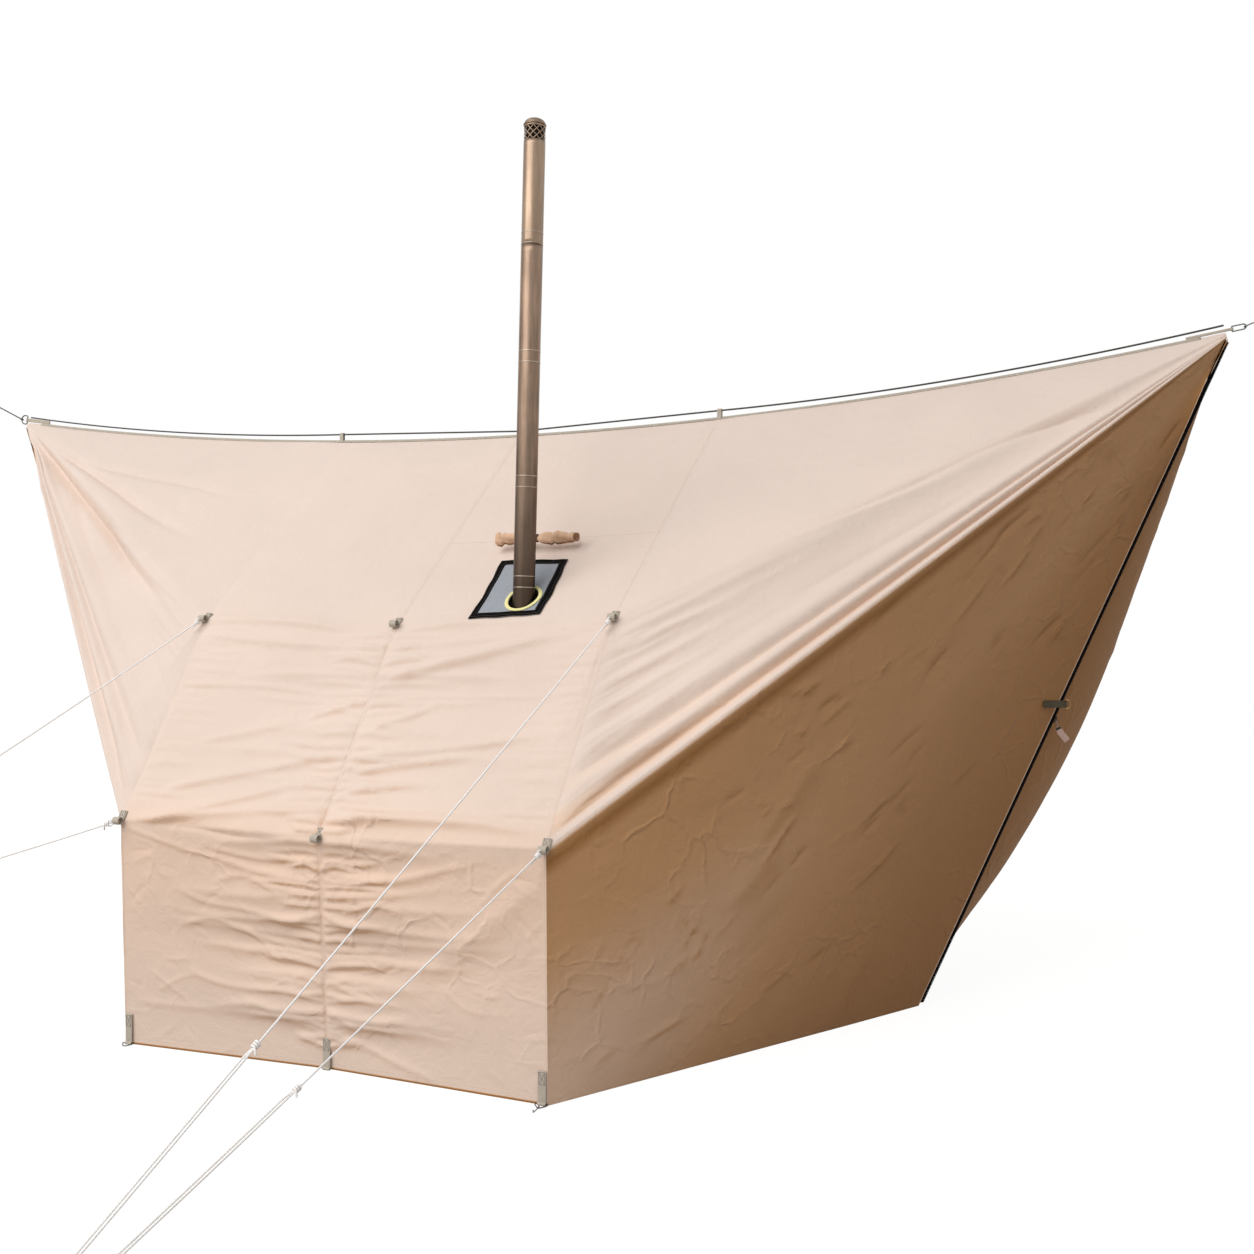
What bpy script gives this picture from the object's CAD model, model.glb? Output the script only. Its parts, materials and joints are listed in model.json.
import json
import math

import bpy
import numpy as np
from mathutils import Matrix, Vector

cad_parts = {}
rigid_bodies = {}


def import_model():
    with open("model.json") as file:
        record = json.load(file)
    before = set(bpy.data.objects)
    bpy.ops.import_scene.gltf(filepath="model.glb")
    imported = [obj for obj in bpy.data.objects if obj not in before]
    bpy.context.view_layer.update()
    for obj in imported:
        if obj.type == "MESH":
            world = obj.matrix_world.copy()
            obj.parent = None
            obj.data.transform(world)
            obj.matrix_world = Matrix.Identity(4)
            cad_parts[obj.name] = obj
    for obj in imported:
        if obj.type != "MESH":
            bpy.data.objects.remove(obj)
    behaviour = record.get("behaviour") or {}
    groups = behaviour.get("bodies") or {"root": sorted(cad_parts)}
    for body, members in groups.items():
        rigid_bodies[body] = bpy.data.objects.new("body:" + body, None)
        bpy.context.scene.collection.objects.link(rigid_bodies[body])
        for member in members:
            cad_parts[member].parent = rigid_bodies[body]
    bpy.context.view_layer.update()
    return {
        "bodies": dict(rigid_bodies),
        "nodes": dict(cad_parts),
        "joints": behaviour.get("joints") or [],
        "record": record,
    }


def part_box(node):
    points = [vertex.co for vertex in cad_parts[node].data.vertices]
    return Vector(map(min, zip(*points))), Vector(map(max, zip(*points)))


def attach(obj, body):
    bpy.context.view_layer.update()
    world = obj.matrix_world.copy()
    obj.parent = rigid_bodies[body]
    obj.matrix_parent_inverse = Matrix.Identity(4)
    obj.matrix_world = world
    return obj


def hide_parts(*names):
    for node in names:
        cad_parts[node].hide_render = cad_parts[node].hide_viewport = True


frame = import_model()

print("frame loaded")


# Camera, light and floor

# sRGB hex to the linear values that shaders work with
def linear(hexColour):
    raw = np.array([int(hexColour[i:i + 2], 16) for i in (1, 3, 5)]) / 255
    return (*np.where(raw <= 0.04045, raw / 12.92, ((raw + 0.055) / 1.055) ** 2.4), 1.0)


studio = {
    "cameraAt": (1.746, -3.580, 1.039),
    "turnLeft": 21.23,
    "photoSide": 1254,
    "focalPixels": 1283,
    "film": 36.0,
    "world": 0.52,
    "keyAt": (-2.2, -6.0, 6.0),
    "keyTowards": (0.2, -0.3, 0.8),
    "keySize": 8.0,
    "keyPower": 600,
    "floorSize": 60,
    "floorDrop": 0.0005,
    "floorColour": "#ABA9A7",
    "floorSeen": "#6A6866",
    "floorGlow": 0.93,
}


# a node with its settings, sockets by name or number, and the sockets that feed it
def addNode(tree, kind, settings=None, links=None):
    made = tree.nodes.new(kind)
    for key, value in (settings or {}).items():
        if isinstance(key, str) and hasattr(made, key) and key not in made.inputs:
            setattr(made, key, value)
        else:
            made.inputs[key].default_value = value
    for key, source in (links or {}).items():
        tree.links.new(source, made.inputs[key])
    return made


# a sum or other operation on numbers and node outputs
def calc(tree, operation, first, second=None):
    settings, links = {"operation": operation}, {}
    for k, value in enumerate((first, second)):
        if value is None:
            continue
        if isinstance(value, (int, float)):
            settings[k] = value
        else:
            links[k] = value
    return addNode(tree, "ShaderNodeMath", settings, links).outputs[0]


def newTree(block):
    block.use_nodes = True
    block.node_tree.nodes.clear()
    return block.node_tree


# 1 where a ray comes from the camera, off a mirror or through glass, and 0 for the light that the cloth gets
def seenShare(tree):
    path = addNode(tree, "ShaderNodeLightPath")
    seen = path.outputs["Is Camera Ray"]
    for ray in ("Is Glossy Ray", "Is Transmission Ray"):
        seen = calc(tree, "MAXIMUM", seen, path.outputs[ray])
    return seen


def addCameraAndKey(scene):
    lens = bpy.data.cameras.new("photoCamera")
    lens.sensor_width = studio["film"]
    lens.sensor_fit = "HORIZONTAL"
    lens.lens = studio["focalPixels"] / studio["photoSide"] * studio["film"]
    lens.clip_end = 200
    camera = bpy.data.objects.new("photoCamera", lens)
    camera.location = studio["cameraAt"]
    camera.rotation_euler = (math.pi / 2, 0, math.radians(studio["turnLeft"]))
    scene.camera = camera
    key = bpy.data.lights.new("keyPanel", "AREA")
    key.size = studio["keySize"]
    key.energy = studio["keyPower"]
    lamp = bpy.data.objects.new("keyPanel", key)
    lamp.location = studio["keyAt"]
    lamp.rotation_euler = (Vector(studio["keyTowards"]) - lamp.location).to_track_quat("-Z", "Y").to_euler()
    for made in (camera, lamp):
        scene.collection.objects.link(made)


# the world and the floor are lit evenly, and where they are seen directly they are white and nearly white
def setUpStudio():
    scene = bpy.context.scene
    scene.view_settings.view_transform = "Standard"
    addCameraAndKey(scene)
    scene.world = bpy.data.worlds.new("studioWorld")
    tree = newTree(scene.world)
    lit, shown = (addNode(tree, "ShaderNodeBackground", {"Color": linear("#FFFFFF"), "Strength": k}).outputs[0]
                  for k in (studio["world"], 1.0))
    both = addNode(tree, "ShaderNodeMixShader", None, {0: seenShare(tree), 1: lit, 2: shown})
    addNode(tree, "ShaderNodeOutputWorld", None, {"Surface": both.outputs[0]})

    half, low = studio["floorSize"] / 2, -studio["floorDrop"]
    mesh = bpy.data.meshes.new("studioFloor")
    corners = [(x * half, y * half, low) for x, y in ((-1, -1), (1, -1), (1, 1), (-1, 1))]
    mesh.from_pydata(corners, [], [(0, 1, 2, 3)])
    floor = bpy.data.objects.new("studioFloor", mesh)
    scene.collection.objects.link(floor)
    look = bpy.data.materials.new("paintedStudioFloor")
    tree = newTree(look)
    matt, dim = (addNode(tree, "ShaderNodeBsdfDiffuse", {"Color": linear(studio[k])}).outputs[0]
                 for k in ("floorColour", "floorSeen"))
    glow = addNode(tree, "ShaderNodeEmission", {"Color": linear("#FFFFFF"), "Strength": studio["floorGlow"]})
    pale = addNode(tree, "ShaderNodeAddShader", None, {0: dim, 1: glow.outputs[0]})
    both = addNode(tree, "ShaderNodeMixShader", None, {0: seenShare(tree), 1: matt, 2: pale.outputs[0]})
    addNode(tree, "ShaderNodeOutputMaterial", None, {"Surface": both.outputs[0]})
    mesh.materials.append(look)
    print("studio ready")


setUpStudio()


# Meshes from arrays

# one object at the origin from points, quads and triangles; the texture places are given for each corner
def meshFrom(name, points, quads, triangles, look, quadPlaces=None, trianglePlaces=None):
    quads = np.asarray(quads, dtype=np.int32).reshape(-1, 4)
    triangles = np.asarray(triangles, dtype=np.int32).reshape(-1, 3)
    mesh = bpy.data.meshes.new(name)
    mesh.vertices.add(len(points))
    mesh.vertices.foreach_set("co", np.asarray(points, dtype=np.float32).ravel())
    mesh.loops.add(quads.size + triangles.size)
    mesh.loops.foreach_set("vertex_index", np.concatenate([quads.ravel(), triangles.ravel()]))
    mesh.polygons.add(len(quads) + len(triangles))
    starts = np.concatenate([np.arange(len(quads)) * 4, quads.size + np.arange(len(triangles)) * 3])
    mesh.polygons.foreach_set("loop_start", starts.astype(np.int32))
    mesh.update(calc_edges=True)
    mesh.polygons.foreach_set("use_smooth", np.ones(len(mesh.polygons), dtype=bool))
    if quadPlaces is not None:
        layer = mesh.uv_layers.new(name="lay")
        given = [places for places in (quadPlaces, trianglePlaces) if places is not None]
        layer.data.foreach_set("uv", np.concatenate([np.asarray(places, dtype=np.float32).ravel() for places in given]))
    mesh.materials.append(look)
    made = bpy.data.objects.new(name, mesh)
    bpy.context.scene.collection.objects.link(made)
    return made


# quads over a grid of points, closed round either way where it wraps
def gridFaces(rows, columns, wrapRows=False, wrapColumns=False):
    index = np.arange(rows * columns).reshape(rows, columns)
    if wrapRows:
        index = np.vstack([index, index[:1]])
    if wrapColumns:
        index = np.hstack([index, index[:, :1]])
    return np.stack([index[:-1, :-1], index[1:, :-1], index[1:, 1:], index[:-1, 1:]], axis=-1).reshape(-1, 4)


def unit(vectors):
    vectors = np.asarray(vectors, dtype=float)
    return vectors / np.maximum(np.linalg.norm(vectors, axis=-1, keepdims=True), 1e-12)


# values of several columns read off at the places, straight between the known ones
def readAt(places, known, values):
    return np.stack([np.interp(places, known, column) for column in np.asarray(values).T], axis=-1)


# arrays spread to one shape and stacked as the last axis
def together(*parts):
    return np.stack(np.broadcast_arrays(*parts), axis=-1)


# a circle of directions about each pair of cross directions
def circle(turn, first, second):
    first, second = np.asarray(first), np.asarray(second)
    return np.cos(turn)[:, None] * first[..., None, :] + np.sin(turn)[:, None] * second[..., None, :]


# 1 at no distance and falling to nothing past the reach, the more sharply the higher the power
def near(distance, reach, power=2):
    return np.exp(-((distance / reach) ** power))


def nearest(values, wanted):
    return int(np.argmin(np.abs(values - wanted)))


def runLength(path):
    return np.concatenate([[0], np.cumsum(np.linalg.norm(np.diff(path, axis=0), axis=1))])


# a Catmull-Rom line through the points with that many steps in each stretch
def smoothPath(points, steps):
    points = np.asarray(points, dtype=float)
    padded = np.vstack([2 * points[0] - points[1], points, 2 * points[-1] - points[-2]])
    t = np.linspace(0, 1, steps, endpoint=False)[:, None]
    parts = []
    for a, b, c, d in zip(padded[:-3], padded[1:-2], padded[2:-1], padded[3:]):
        parts.append(0.5 * (2 * b + (c - a) * t + (2 * a - 5 * b + 4 * c - d) * t**2 + (3 * b - a - 3 * c + d) * t**3))
    return np.vstack([*parts, points[-1:]])


# two cross directions along a path, each turned the least from the one before
def carriedFrames(path):
    tangent = unit(np.gradient(path, axis=0))
    first = np.cross(tangent[0], (0, 0, 1) if abs(tangent[0][2]) < 0.9 else (1, 0, 0))
    side = [first / np.linalg.norm(first)]
    for t in tangent[1:]:
        s = side[-1] - t * np.dot(side[-1], t)
        side.append(s / np.linalg.norm(s))
    side = np.array(side)
    return side, np.cross(tangent, side)


# turns a closed mesh's faces outwards by the sign of its volume
def outward(obj):
    mesh = obj.data
    mesh.calc_loop_triangles()
    corner = np.zeros(len(mesh.loop_triangles) * 3, dtype=np.int32)
    mesh.loop_triangles.foreach_get("vertices", corner)
    place = np.zeros(len(mesh.vertices) * 3, dtype=np.float32)
    mesh.vertices.foreach_get("co", place)
    place = place.reshape(-1, 3) - place.reshape(-1, 3).mean(axis=0)
    a, b, c = np.moveaxis(place[corner].reshape(-1, 3, 3), 1, 0)
    if np.einsum("ij,ij->", a, np.cross(b, c)) < 0:
        mesh.flip_normals()
    return obj


# faces of rings joined along a path and closed by a fan at both ends; the fans' middles follow the rings' points
def sweptFaces(count, sides):
    index = np.arange(count * sides).reshape(count, sides)
    ahead = np.roll(index, -1, axis=1)
    quads = together(index[:-1], ahead[:-1], ahead[1:], index[1:]).reshape(-1, 4)
    first, last = together(ahead[0], index[0], index.size), together(index[-1], ahead[-1], index.size + 1)
    return quads, np.vstack([first, last])


def sweptPoints(rings):
    return np.vstack([rings.reshape(-1, 3), rings[[0, -1]].mean(axis=1)])


# one closed shape from rings; across and run are the texture places
def sweep(name, rings, look, across, run):
    sides = rings.shape[1]
    u = np.stack([across[:-1], across[1:], across[1:], across[:-1]], axis=-1)
    v = np.stack([run[:-1], run[:-1], run[1:], run[1:]], axis=-1)
    places = together(u[None, :, :], v[:, None, :])
    fanPlaces = np.zeros((2 * sides, 3, 2))
    fanPlaces[:, :, 1] = np.repeat([run[0], run[-1]], sides)[:, None]
    quads, fans = sweptFaces(*rings.shape[:2])
    return outward(meshFrom(name, sweptPoints(rings), quads, fans, look, places, fanPlaces))


# many like parts as one mesh, from all their points and the faces of one part
def manyParts(name, parts, quads, triangles, look):
    starts = np.arange(len(parts))[:, None, None] * parts.shape[1]
    quads, triangles = ((starts + np.asarray(faces, dtype=int).reshape(-1, corners)).reshape(-1, corners)
                        for faces, corners in ((quads, 4), (triangles, 3)))
    return outward(meshFrom(name, parts.reshape(-1, 3), quads, triangles, look))


# a round section along a path; strands and twist press a lay into it
def tube(name, path, radius, look, sides=12, strands=0, twist=0.0, depth=0.0):
    path = np.asarray(path, dtype=float)
    side, up = carriedFrames(path)
    run = runLength(path)
    turn = np.linspace(0, 2 * math.pi, sides, endpoint=False)
    radii = np.full((len(path), sides), float(radius))
    if strands:
        radii = radii * (1 - depth * (0.5 - 0.5 * np.cos(strands * (turn[None, :] + run[:, None] * twist))))
    rings = path[:, None] + radii[..., None] * circle(turn, side, up)
    return sweep(name, rings, look, np.linspace(0, 1, sides + 1), run)


# a strap: a flat section with rounded edges along a path, its width along one given direction
def band(name, path, across, width, thickness, look, samples=9):
    path = np.asarray(path, dtype=float)
    tangent = unit(np.gradient(path, axis=0))
    across = np.broadcast_to(unit(across), path.shape)
    over = unit(np.cross(tangent, across))
    w = np.sin(np.linspace(-1, 1, samples) * math.pi / 2) * 0.99
    rise = np.sqrt(1 - np.abs(w) ** 6)
    flat = np.concatenate([w, w[::-1]]) * width / 2
    high = np.concatenate([rise, -rise[::-1]]) * thickness / 2
    rings = path[:, None] + flat[None, :, None] * across[:, None] + high[None, :, None] * over[:, None]
    return sweep(name, rings, look, np.append(flat, flat[0]), runLength(path))


# a closed wire: the route is walked once more past its start so that the ends lie inside each other
def closedWire(name, route, radius, look, sides=14):
    return tube(name, np.vstack([route, route[:1]]), radius, look, sides=sides)


# local points to the world by three axes and an origin
def placed(frame, points):
    points = np.asarray(points, dtype=float)
    return np.array(frame[3]) + points @ np.array(frame[:points.shape[-1]])


def mirrored(points, xSign=1.0, ySign=1.0):
    return np.asarray(points) * np.array([xSign, ySign, 1.0])


def onNode(piece, node, body):
    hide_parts(node)
    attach(piece, body)
    return piece


# Stitches, drawn 6 mm apart and 0.7 mm thick where the real ones are half of that

stitching = {
    "pitch": 0.0060,
    "length": 0.0044,
    "radius": 0.00035,
    "sides": 5,
    "stations": [(-0.8, 0.55, 0.2), (0.0, 1.0, 0.5), (0.8, 0.55, 0.2)],
}


# one short thread for each pitch along a path, its ends sunk into the cloth
def stitchRow(path, normals, pitch=None):
    pitch = pitch or stitching["pitch"]
    path, run = np.asarray(path, dtype=float), runLength(path)
    normals = np.broadcast_to(np.asarray(normals, dtype=float), path.shape)
    at = np.arange(pitch / 2, run[-1], pitch)
    middle, normal = readAt(at, run, path), unit(readAt(at, run, normals))
    along = unit(readAt(at + 0.001, run, path) - readAt(at - 0.001, run, path))
    side = np.cross(along, normal)
    turn = np.linspace(0, 2 * math.pi, stitching["sides"], endpoint=False)
    radius, half = stitching["radius"], stitching["length"] / 2
    sunk = normal * radius * 0.3
    parts = [middle - along * half - sunk]
    for place, size, lift in stitching["stations"]:
        centre = middle + along * place * half + normal * radius * lift
        parts.append((centre[:, None] + radius * size * circle(turn, side, normal)).reshape(len(at), -1))
    parts.append(middle + along * half - sunk)
    return np.hstack(parts).reshape(-1, 3)


# several rows as one piece; each stitch has one tip, three rings and one more tip
def addStitches(name, rows, body, look):
    sides = stitching["sides"]
    each = 2 + 3 * sides
    parts = np.vstack([stitchRow(*row) for row in rows]).reshape(-1, each, 3)
    rings = [1 + sides * r + np.arange(sides) for r in range(3)]
    turned = [np.roll(ring, -1) for ring in rings]
    quads = np.vstack([together(rings[r], turned[r], turned[r + 1], rings[r + 1]) for r in (0, 1)])
    tips = np.vstack([together(turned[0], rings[0], 0), together(rings[2], turned[2], each - 1)])
    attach(manyParts(name, parts, quads, tips, look), body)


# Materials

def newMaterial(name):
    look = bpy.data.materials.new(name)
    return look, newTree(look)


def finishMaterial(tree, shaderSettings, links=None):
    shader = addNode(tree, "ShaderNodeBsdfPrincipled", shaderSettings, links)
    addNode(tree, "ShaderNodeOutputMaterial", None, {"Surface": shader.outputs[0]})
    return shader


def noise(tree, place, scale, detail, roughness=0.5, distortion=0.0):
    settings = {"Scale": scale, "Detail": detail, "Roughness": roughness, "Distortion": distortion}
    return addNode(tree, "ShaderNodeTexNoise", settings, {"Vector": place})


# a value's range from low to high stretched over first to last, and held there outside it
def ranged(tree, value, low, high, first=0.0, last=1.0):
    settings = {"From Min": low, "From Max": high, "To Min": first, "To Max": last}
    return addNode(tree, "ShaderNodeMapRange", settings, {"Value": value}).outputs[0]


def mixed(tree, share, colour, other):
    settings, links = {"data_type": "RGBA", 7: linear(other)}, {0: share}
    (settings if isinstance(colour, str) else links)[6] = linear(colour) if isinstance(colour, str) else colour
    return addNode(tree, "ShaderNodeMix", settings, links).outputs[2]


def bumped(tree, height, strength, depth, below=None):
    links = {"Height": height} if below is None else {"Height": height, "Normal": below}
    return addNode(tree, "ShaderNodeBump", {"Strength": strength, "Distance": depth}, links).outputs[0]


def objectPlace(tree):
    return addNode(tree, "ShaderNodeTexCoord").outputs["Object"]


# places along and across a piece's own lay, as two outputs
def layPlace(tree):
    lay = addNode(tree, "ShaderNodeUVMap", {"uv_map": "lay"})
    return addNode(tree, "ShaderNodeSeparateXYZ", None, {0: lay.outputs[0]}).outputs


# sine of a place, repeating at the pitch
def wave(tree, place, pitch):
    return calc(tree, "SINE", calc(tree, "MULTIPLY", place, 2 * math.pi / pitch))


# polycotton canvas, plain woven and dyed: matt, a little mottled, finely crinkled from packing; the tone runs from the
# lit sand to the deeper brown
def canvasMaterial(name, tones):
    look, tree = newMaterial(name)
    place = objectPlace(tree)
    tone = addNode(tree, "ShaderNodeAttribute", {"attribute_name": "tone"}).outputs["Fac"]
    ramp = addNode(tree, "ShaderNodeValToRGB", None, {0: tone})
    ramp.color_ramp.elements[0].color = linear(tones[0])
    ramp.color_ramp.elements[1].color = linear(tones[-1])
    for k, shade in enumerate(tones[1:-1], 1):
        ramp.color_ramp.elements.new(k / (len(tones) - 1)).color = linear(shade)
    blotch = noise(tree, place, 2.2, 5.0, 0.6).outputs["Fac"]
    shade = ranged(tree, blotch, 0.3, 0.7, 0.96, 1.03)
    colour = addNode(tree, "ShaderNodeVectorMath", {"operation": "SCALE"}, {0: ramp.outputs["Color"], "Scale": shade})
    # the real weave has 0.3 mm threads, drawn here at 1.5 mm
    lay = layPlace(tree)
    weave = calc(tree, "MULTIPLY", wave(tree, lay["X"], 0.0015), wave(tree, lay["Y"], 0.0015))
    crinkle = noise(tree, place, 17.0, 6.0, 0.62, 0.9).outputs["Fac"]
    # packing creases: thin crooked lines between cells of about 110 mm, in patches and mostly on the hanging walls
    drift = noise(tree, place, 7.0, 3.0)
    drawn = {"operation": "MULTIPLY_ADD", 1: (0.16, 0.16, 0.16)}
    shifted = addNode(tree, "ShaderNodeVectorMath", drawn, {0: drift.outputs["Color"], 2: place})
    cellKind = {"feature": "DISTANCE_TO_EDGE", "Scale": 9.0}
    cells = addNode(tree, "ShaderNodeTexVoronoi", cellKind, {"Vector": shifted.outputs[0]})
    line = ranged(tree, cells.outputs["Distance"], 0.0, 0.10, 1.0, 0.0)
    patch = ranged(tree, blotch, 0.44, 0.58)
    broken = ranged(tree, drift.outputs["Fac"], 0.42, 0.52)
    hanging = ranged(tree, tone, 0.3, 0.5, 0.1)
    creased = calc(tree, "MULTIPLY", calc(tree, "MULTIPLY", line, patch), calc(tree, "MULTIPLY", hanging, broken))
    fine = bumped(tree, weave, 0.25, 0.0003)
    broad = bumped(tree, crinkle, 0.32, 0.010, bumped(tree, creased, 0.9, 0.0030, fine))
    matt = {"Roughness": 0.82, "Sheen Weight": 0.12, "Sheen Roughness": 0.5, "Specular IOR Level": 0.25}
    finishMaterial(tree, matt, {"Base Color": colour.outputs[0], "Normal": broad})
    return look


# braided polyester: two plaits cross along the cord, so the height repeats with the pitch
def cordMaterial(name, colour, other, pitch):
    look, tree = newMaterial(name)
    lay = layPlace(tree)
    around = calc(tree, "MULTIPLY", lay["X"], 4 * math.pi)
    along = calc(tree, "MULTIPLY", lay["Y"], 2 * math.pi / pitch)
    plaits = [calc(tree, "SINE", calc(tree, *turn)) for turn in (("ADD", around, along), ("SUBTRACT", along, around))]
    spread = ranged(tree, calc(tree, "MULTIPLY", *plaits), -1.0, 1.0)
    links = {"Base Color": mixed(tree, spread, other, colour), "Normal": bumped(tree, spread, 0.6, 0.0006)}
    finishMaterial(tree, {"Roughness": 0.7, "Sheen Weight": 0.1}, links)
    return look


# flat woven webbing: herringbone ribs along it, a little worn and paler on the high threads
def webbingMaterial(name, colour, worn, rib=0.0022, roughness=0.8, shine=0.3):
    look, tree = newMaterial(name)
    lay = layPlace(tree)
    slant = calc(tree, "ADD", lay["Y"], calc(tree, "PINGPONG", lay["X"], 2 * rib))
    spread = ranged(tree, wave(tree, slant, rib), -1.0, 1.0)
    wear = noise(tree, objectPlace(tree), 60.0, 4.0, 0.7).outputs["Fac"]
    paler = mixed(tree, calc(tree, "MULTIPLY", spread, wear), colour, worn)
    links = {"Base Color": paler, "Normal": bumped(tree, spread, 0.5, 0.0005)}
    finishMaterial(tree, {"Roughness": roughness, "Specular IOR Level": shine}, links)
    return look


# plain dyed cloth or thread: fine grain and faint blotches
def clothMaterial(name, colour, other, scale, roughness, depth=0.0004):
    look, tree = newMaterial(name)
    place = objectPlace(tree)
    spread = ranged(tree, noise(tree, place, scale, 5.0, 0.65).outputs["Fac"], 0.35, 0.65)
    fine = noise(tree, place, 900.0, 2.0).outputs["Fac"]
    links = {"Base Color": mixed(tree, spread, colour, other), "Normal": bumped(tree, fine, 0.5, depth)}
    finishMaterial(tree, {"Roughness": roughness, "Specular IOR Level": 0.3}, links)
    return look


# drawn or rolled metal: streaks along Z, heat stains as a slow noise, faint dents; sooted gives the heights between
# which soot and heat colours fade out above the stove, and their colour
def metalMaterial(name, colour, other, roughness, streak=40.0, stain=6.0, sooted=None):
    look, tree = newMaterial(name)
    place = objectPlace(tree)
    stretch = {"Scale": (streak, streak, streak / 12)}
    stretched = addNode(tree, "ShaderNodeMapping", stretch, {"Vector": place}).outputs[0]
    streaks = noise(tree, stretched, 3.0, 5.0, 0.6).outputs["Fac"]
    stains = noise(tree, place, stain, 4.0, 0.55).outputs["Fac"]
    both = calc(tree, "ADD", calc(tree, "MULTIPLY", streaks, 0.5), calc(tree, "MULTIPLY", stains, 0.5))
    shown = mixed(tree, ranged(tree, both, 0.38, 0.62), colour, other)
    if sooted:
        height = addNode(tree, "ShaderNodeSeparateXYZ", None, {0: place}).outputs["Z"]
        shown = mixed(tree, ranged(tree, height, sooted[0], sooted[1], 0.85, 0.0), shown, sooted[2])
    rough = ranged(tree, streaks, 0.0, 1.0, roughness - 0.08, roughness + 0.12)
    links = {"Base Color": shown, "Roughness": rough, "Normal": bumped(tree, streaks, 0.25, 0.0006)}
    finishMaterial(tree, {"Metallic": 1.0}, links)
    return look


whiteBraid = cordMaterial("braidedPolyesterWhite", "#FBF9F7", "#E6E0DB", 0.012)
darkBraid = cordMaterial("braidedPolyesterDark", "#4A443F", "#2A2623", 0.014)
oliveWebbing = webbingMaterial("wovenWebbingGreyOlive", "#A89C8C", "#D8D2C6")
darkWebbing = webbingMaterial("wovenWebbingDarkOlive", "#4A4030", "#6E6350")
zipWebbing = webbingMaterial("knittedZipTapeBlack", "#0B0909", "#181413", rib=0.0016, roughness=0.9, shine=0.02)
bindingTape = webbingMaterial("wovenBindingTapeBlack", "#0C0A0A", "#1A1615", rib=0.0018, roughness=0.85, shine=0.03)
heatCloth = clothMaterial("coatedGlassClothGrey", "#989CA2", "#888C92", 240.0, 0.55)
yellowThread = clothMaterial("sewnAramidRingYellow", "#EFE9B0", "#D9CF86", 500.0, 0.75)
sandThread = clothMaterial("spunThreadSand", "#C7AE97", "#A88D76", 700.0, 0.7)
darkThread = clothMaterial("spunThreadDark", "#2A2119", "#40342A", 700.0, 0.7)
greyThread = clothMaterial("spunThreadGrey", "#5A5550", "#6E6862", 700.0, 0.7)
paleTag = clothMaterial("wovenTagPale", "#C3A79C", "#B4978B", 420.0, 0.8)
blackNylon = clothMaterial("mouldedNylonCoilBlack", "#0D0B0B", "#171413", 300.0, 0.6)
steelWire = metalMaterial("drawnSteelWire", "#77746F", "#565350", 0.34)
tanWire = metalMaterial("brassPlatedWireTan", "#C09468", "#A47A50", 0.32)
pipeFoil = metalMaterial("rolledTitaniumFoilHeated", "#9C8472", "#766354", 0.36, 26.0, 4.0, (1.14, 1.56, "#2A211B"))
ribFoil = metalMaterial("springSteelBandsBright", "#B7A798", "#8F8074", 0.30)
sleeveFoil = metalMaterial("rolledTitaniumFoilPale", "#A08A76", "#877362", 0.36, streak=26.0, stain=5.0)
capFoil = metalMaterial("pressedTitaniumCap", "#847362", "#6E5E50", 0.38)
sootedMesh = metalMaterial("sootedSteelMesh", "#2B231E", "#171210", 0.6)
print("materials ready")


# Cords

guylines = {
    "radius": 0.0020,
    "loop": 0.016,
    "eyes": {"mid": (0.602, -0.73490, 1.06229), "eave": (0.580, -1.07598, 0.55931)},
    "eyeRadius": 0.0080,
    "webbing": 0.0016,
    "webbingHalf": 0.010,
    "fit": 0.0003,
    "doubled": {"guyline_eave_right": 0.645, "guyline_mid_right": 0.745},
    "strandApart": 0.0062,
    "secondBeside": 0.0015,
    "lay": {"strands": 4, "twist": 260.0, "depth": 0.10},
    "runs": {
        "guyline_mid_right": ("mid", 1.0, (0.357, -2.215, 0.119), 0.006),
        "guyline_eave_right": ("eave", 1.0, (0.376, -2.143, 0.108), 0.005),
        "guyline_mid_left": ("mid", -1.0, (-0.770, -1.300, 0.712), 0.002),
        "guyline_eave_left": ("eave", -1.0, (-0.820, -1.250, 0.471), 0.001),
    },
}
treeRope = {
    "radius": 0.0022,
    "ringWire": 0.0022,
    "bar": (-2.02330, 0.0, 1.79990),
    "away": (-0.90, 0.0, 0.42),
    "reach": 0.135,
}


# a circle past the stop, entered and left near the line it closes
def loopedEnd(stop, run, up, size, first, last, count):
    a = np.linspace(first, last, count)[:, None]
    return stop + run * size + size * (-np.cos(a) * run + np.sin(a) * up)


# turns of the same cord wound tightly round the line, with a short tail that stands off
def addKnot(name, at, run, side, up, radius, turns=2.6, tail=0.030):
    a = np.linspace(0, turns * 2 * math.pi, 70)[:, None]
    step = 2.15 * radius * a / (2 * math.pi)
    coil = at + run * (step - turns * radius) + 2.0 * radius * (np.cos(a) * side + np.sin(a) * up)
    t = np.linspace(0.12, 1, 12)[:, None]
    leaving = 0.55 * unit(coil[-1] - coil[-2]) + 0.35 * up + 0.25 * side
    out = coil[-1] + tail * (t * leaving - t**2 * 0.25 * np.array([0, 0, 1]))
    piece = tube(name, smoothPath(np.vstack([coil[::3], out]), 4), radius * 0.9, whiteBraid, sides=10)
    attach(piece, "canopy")
    return piece


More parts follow.
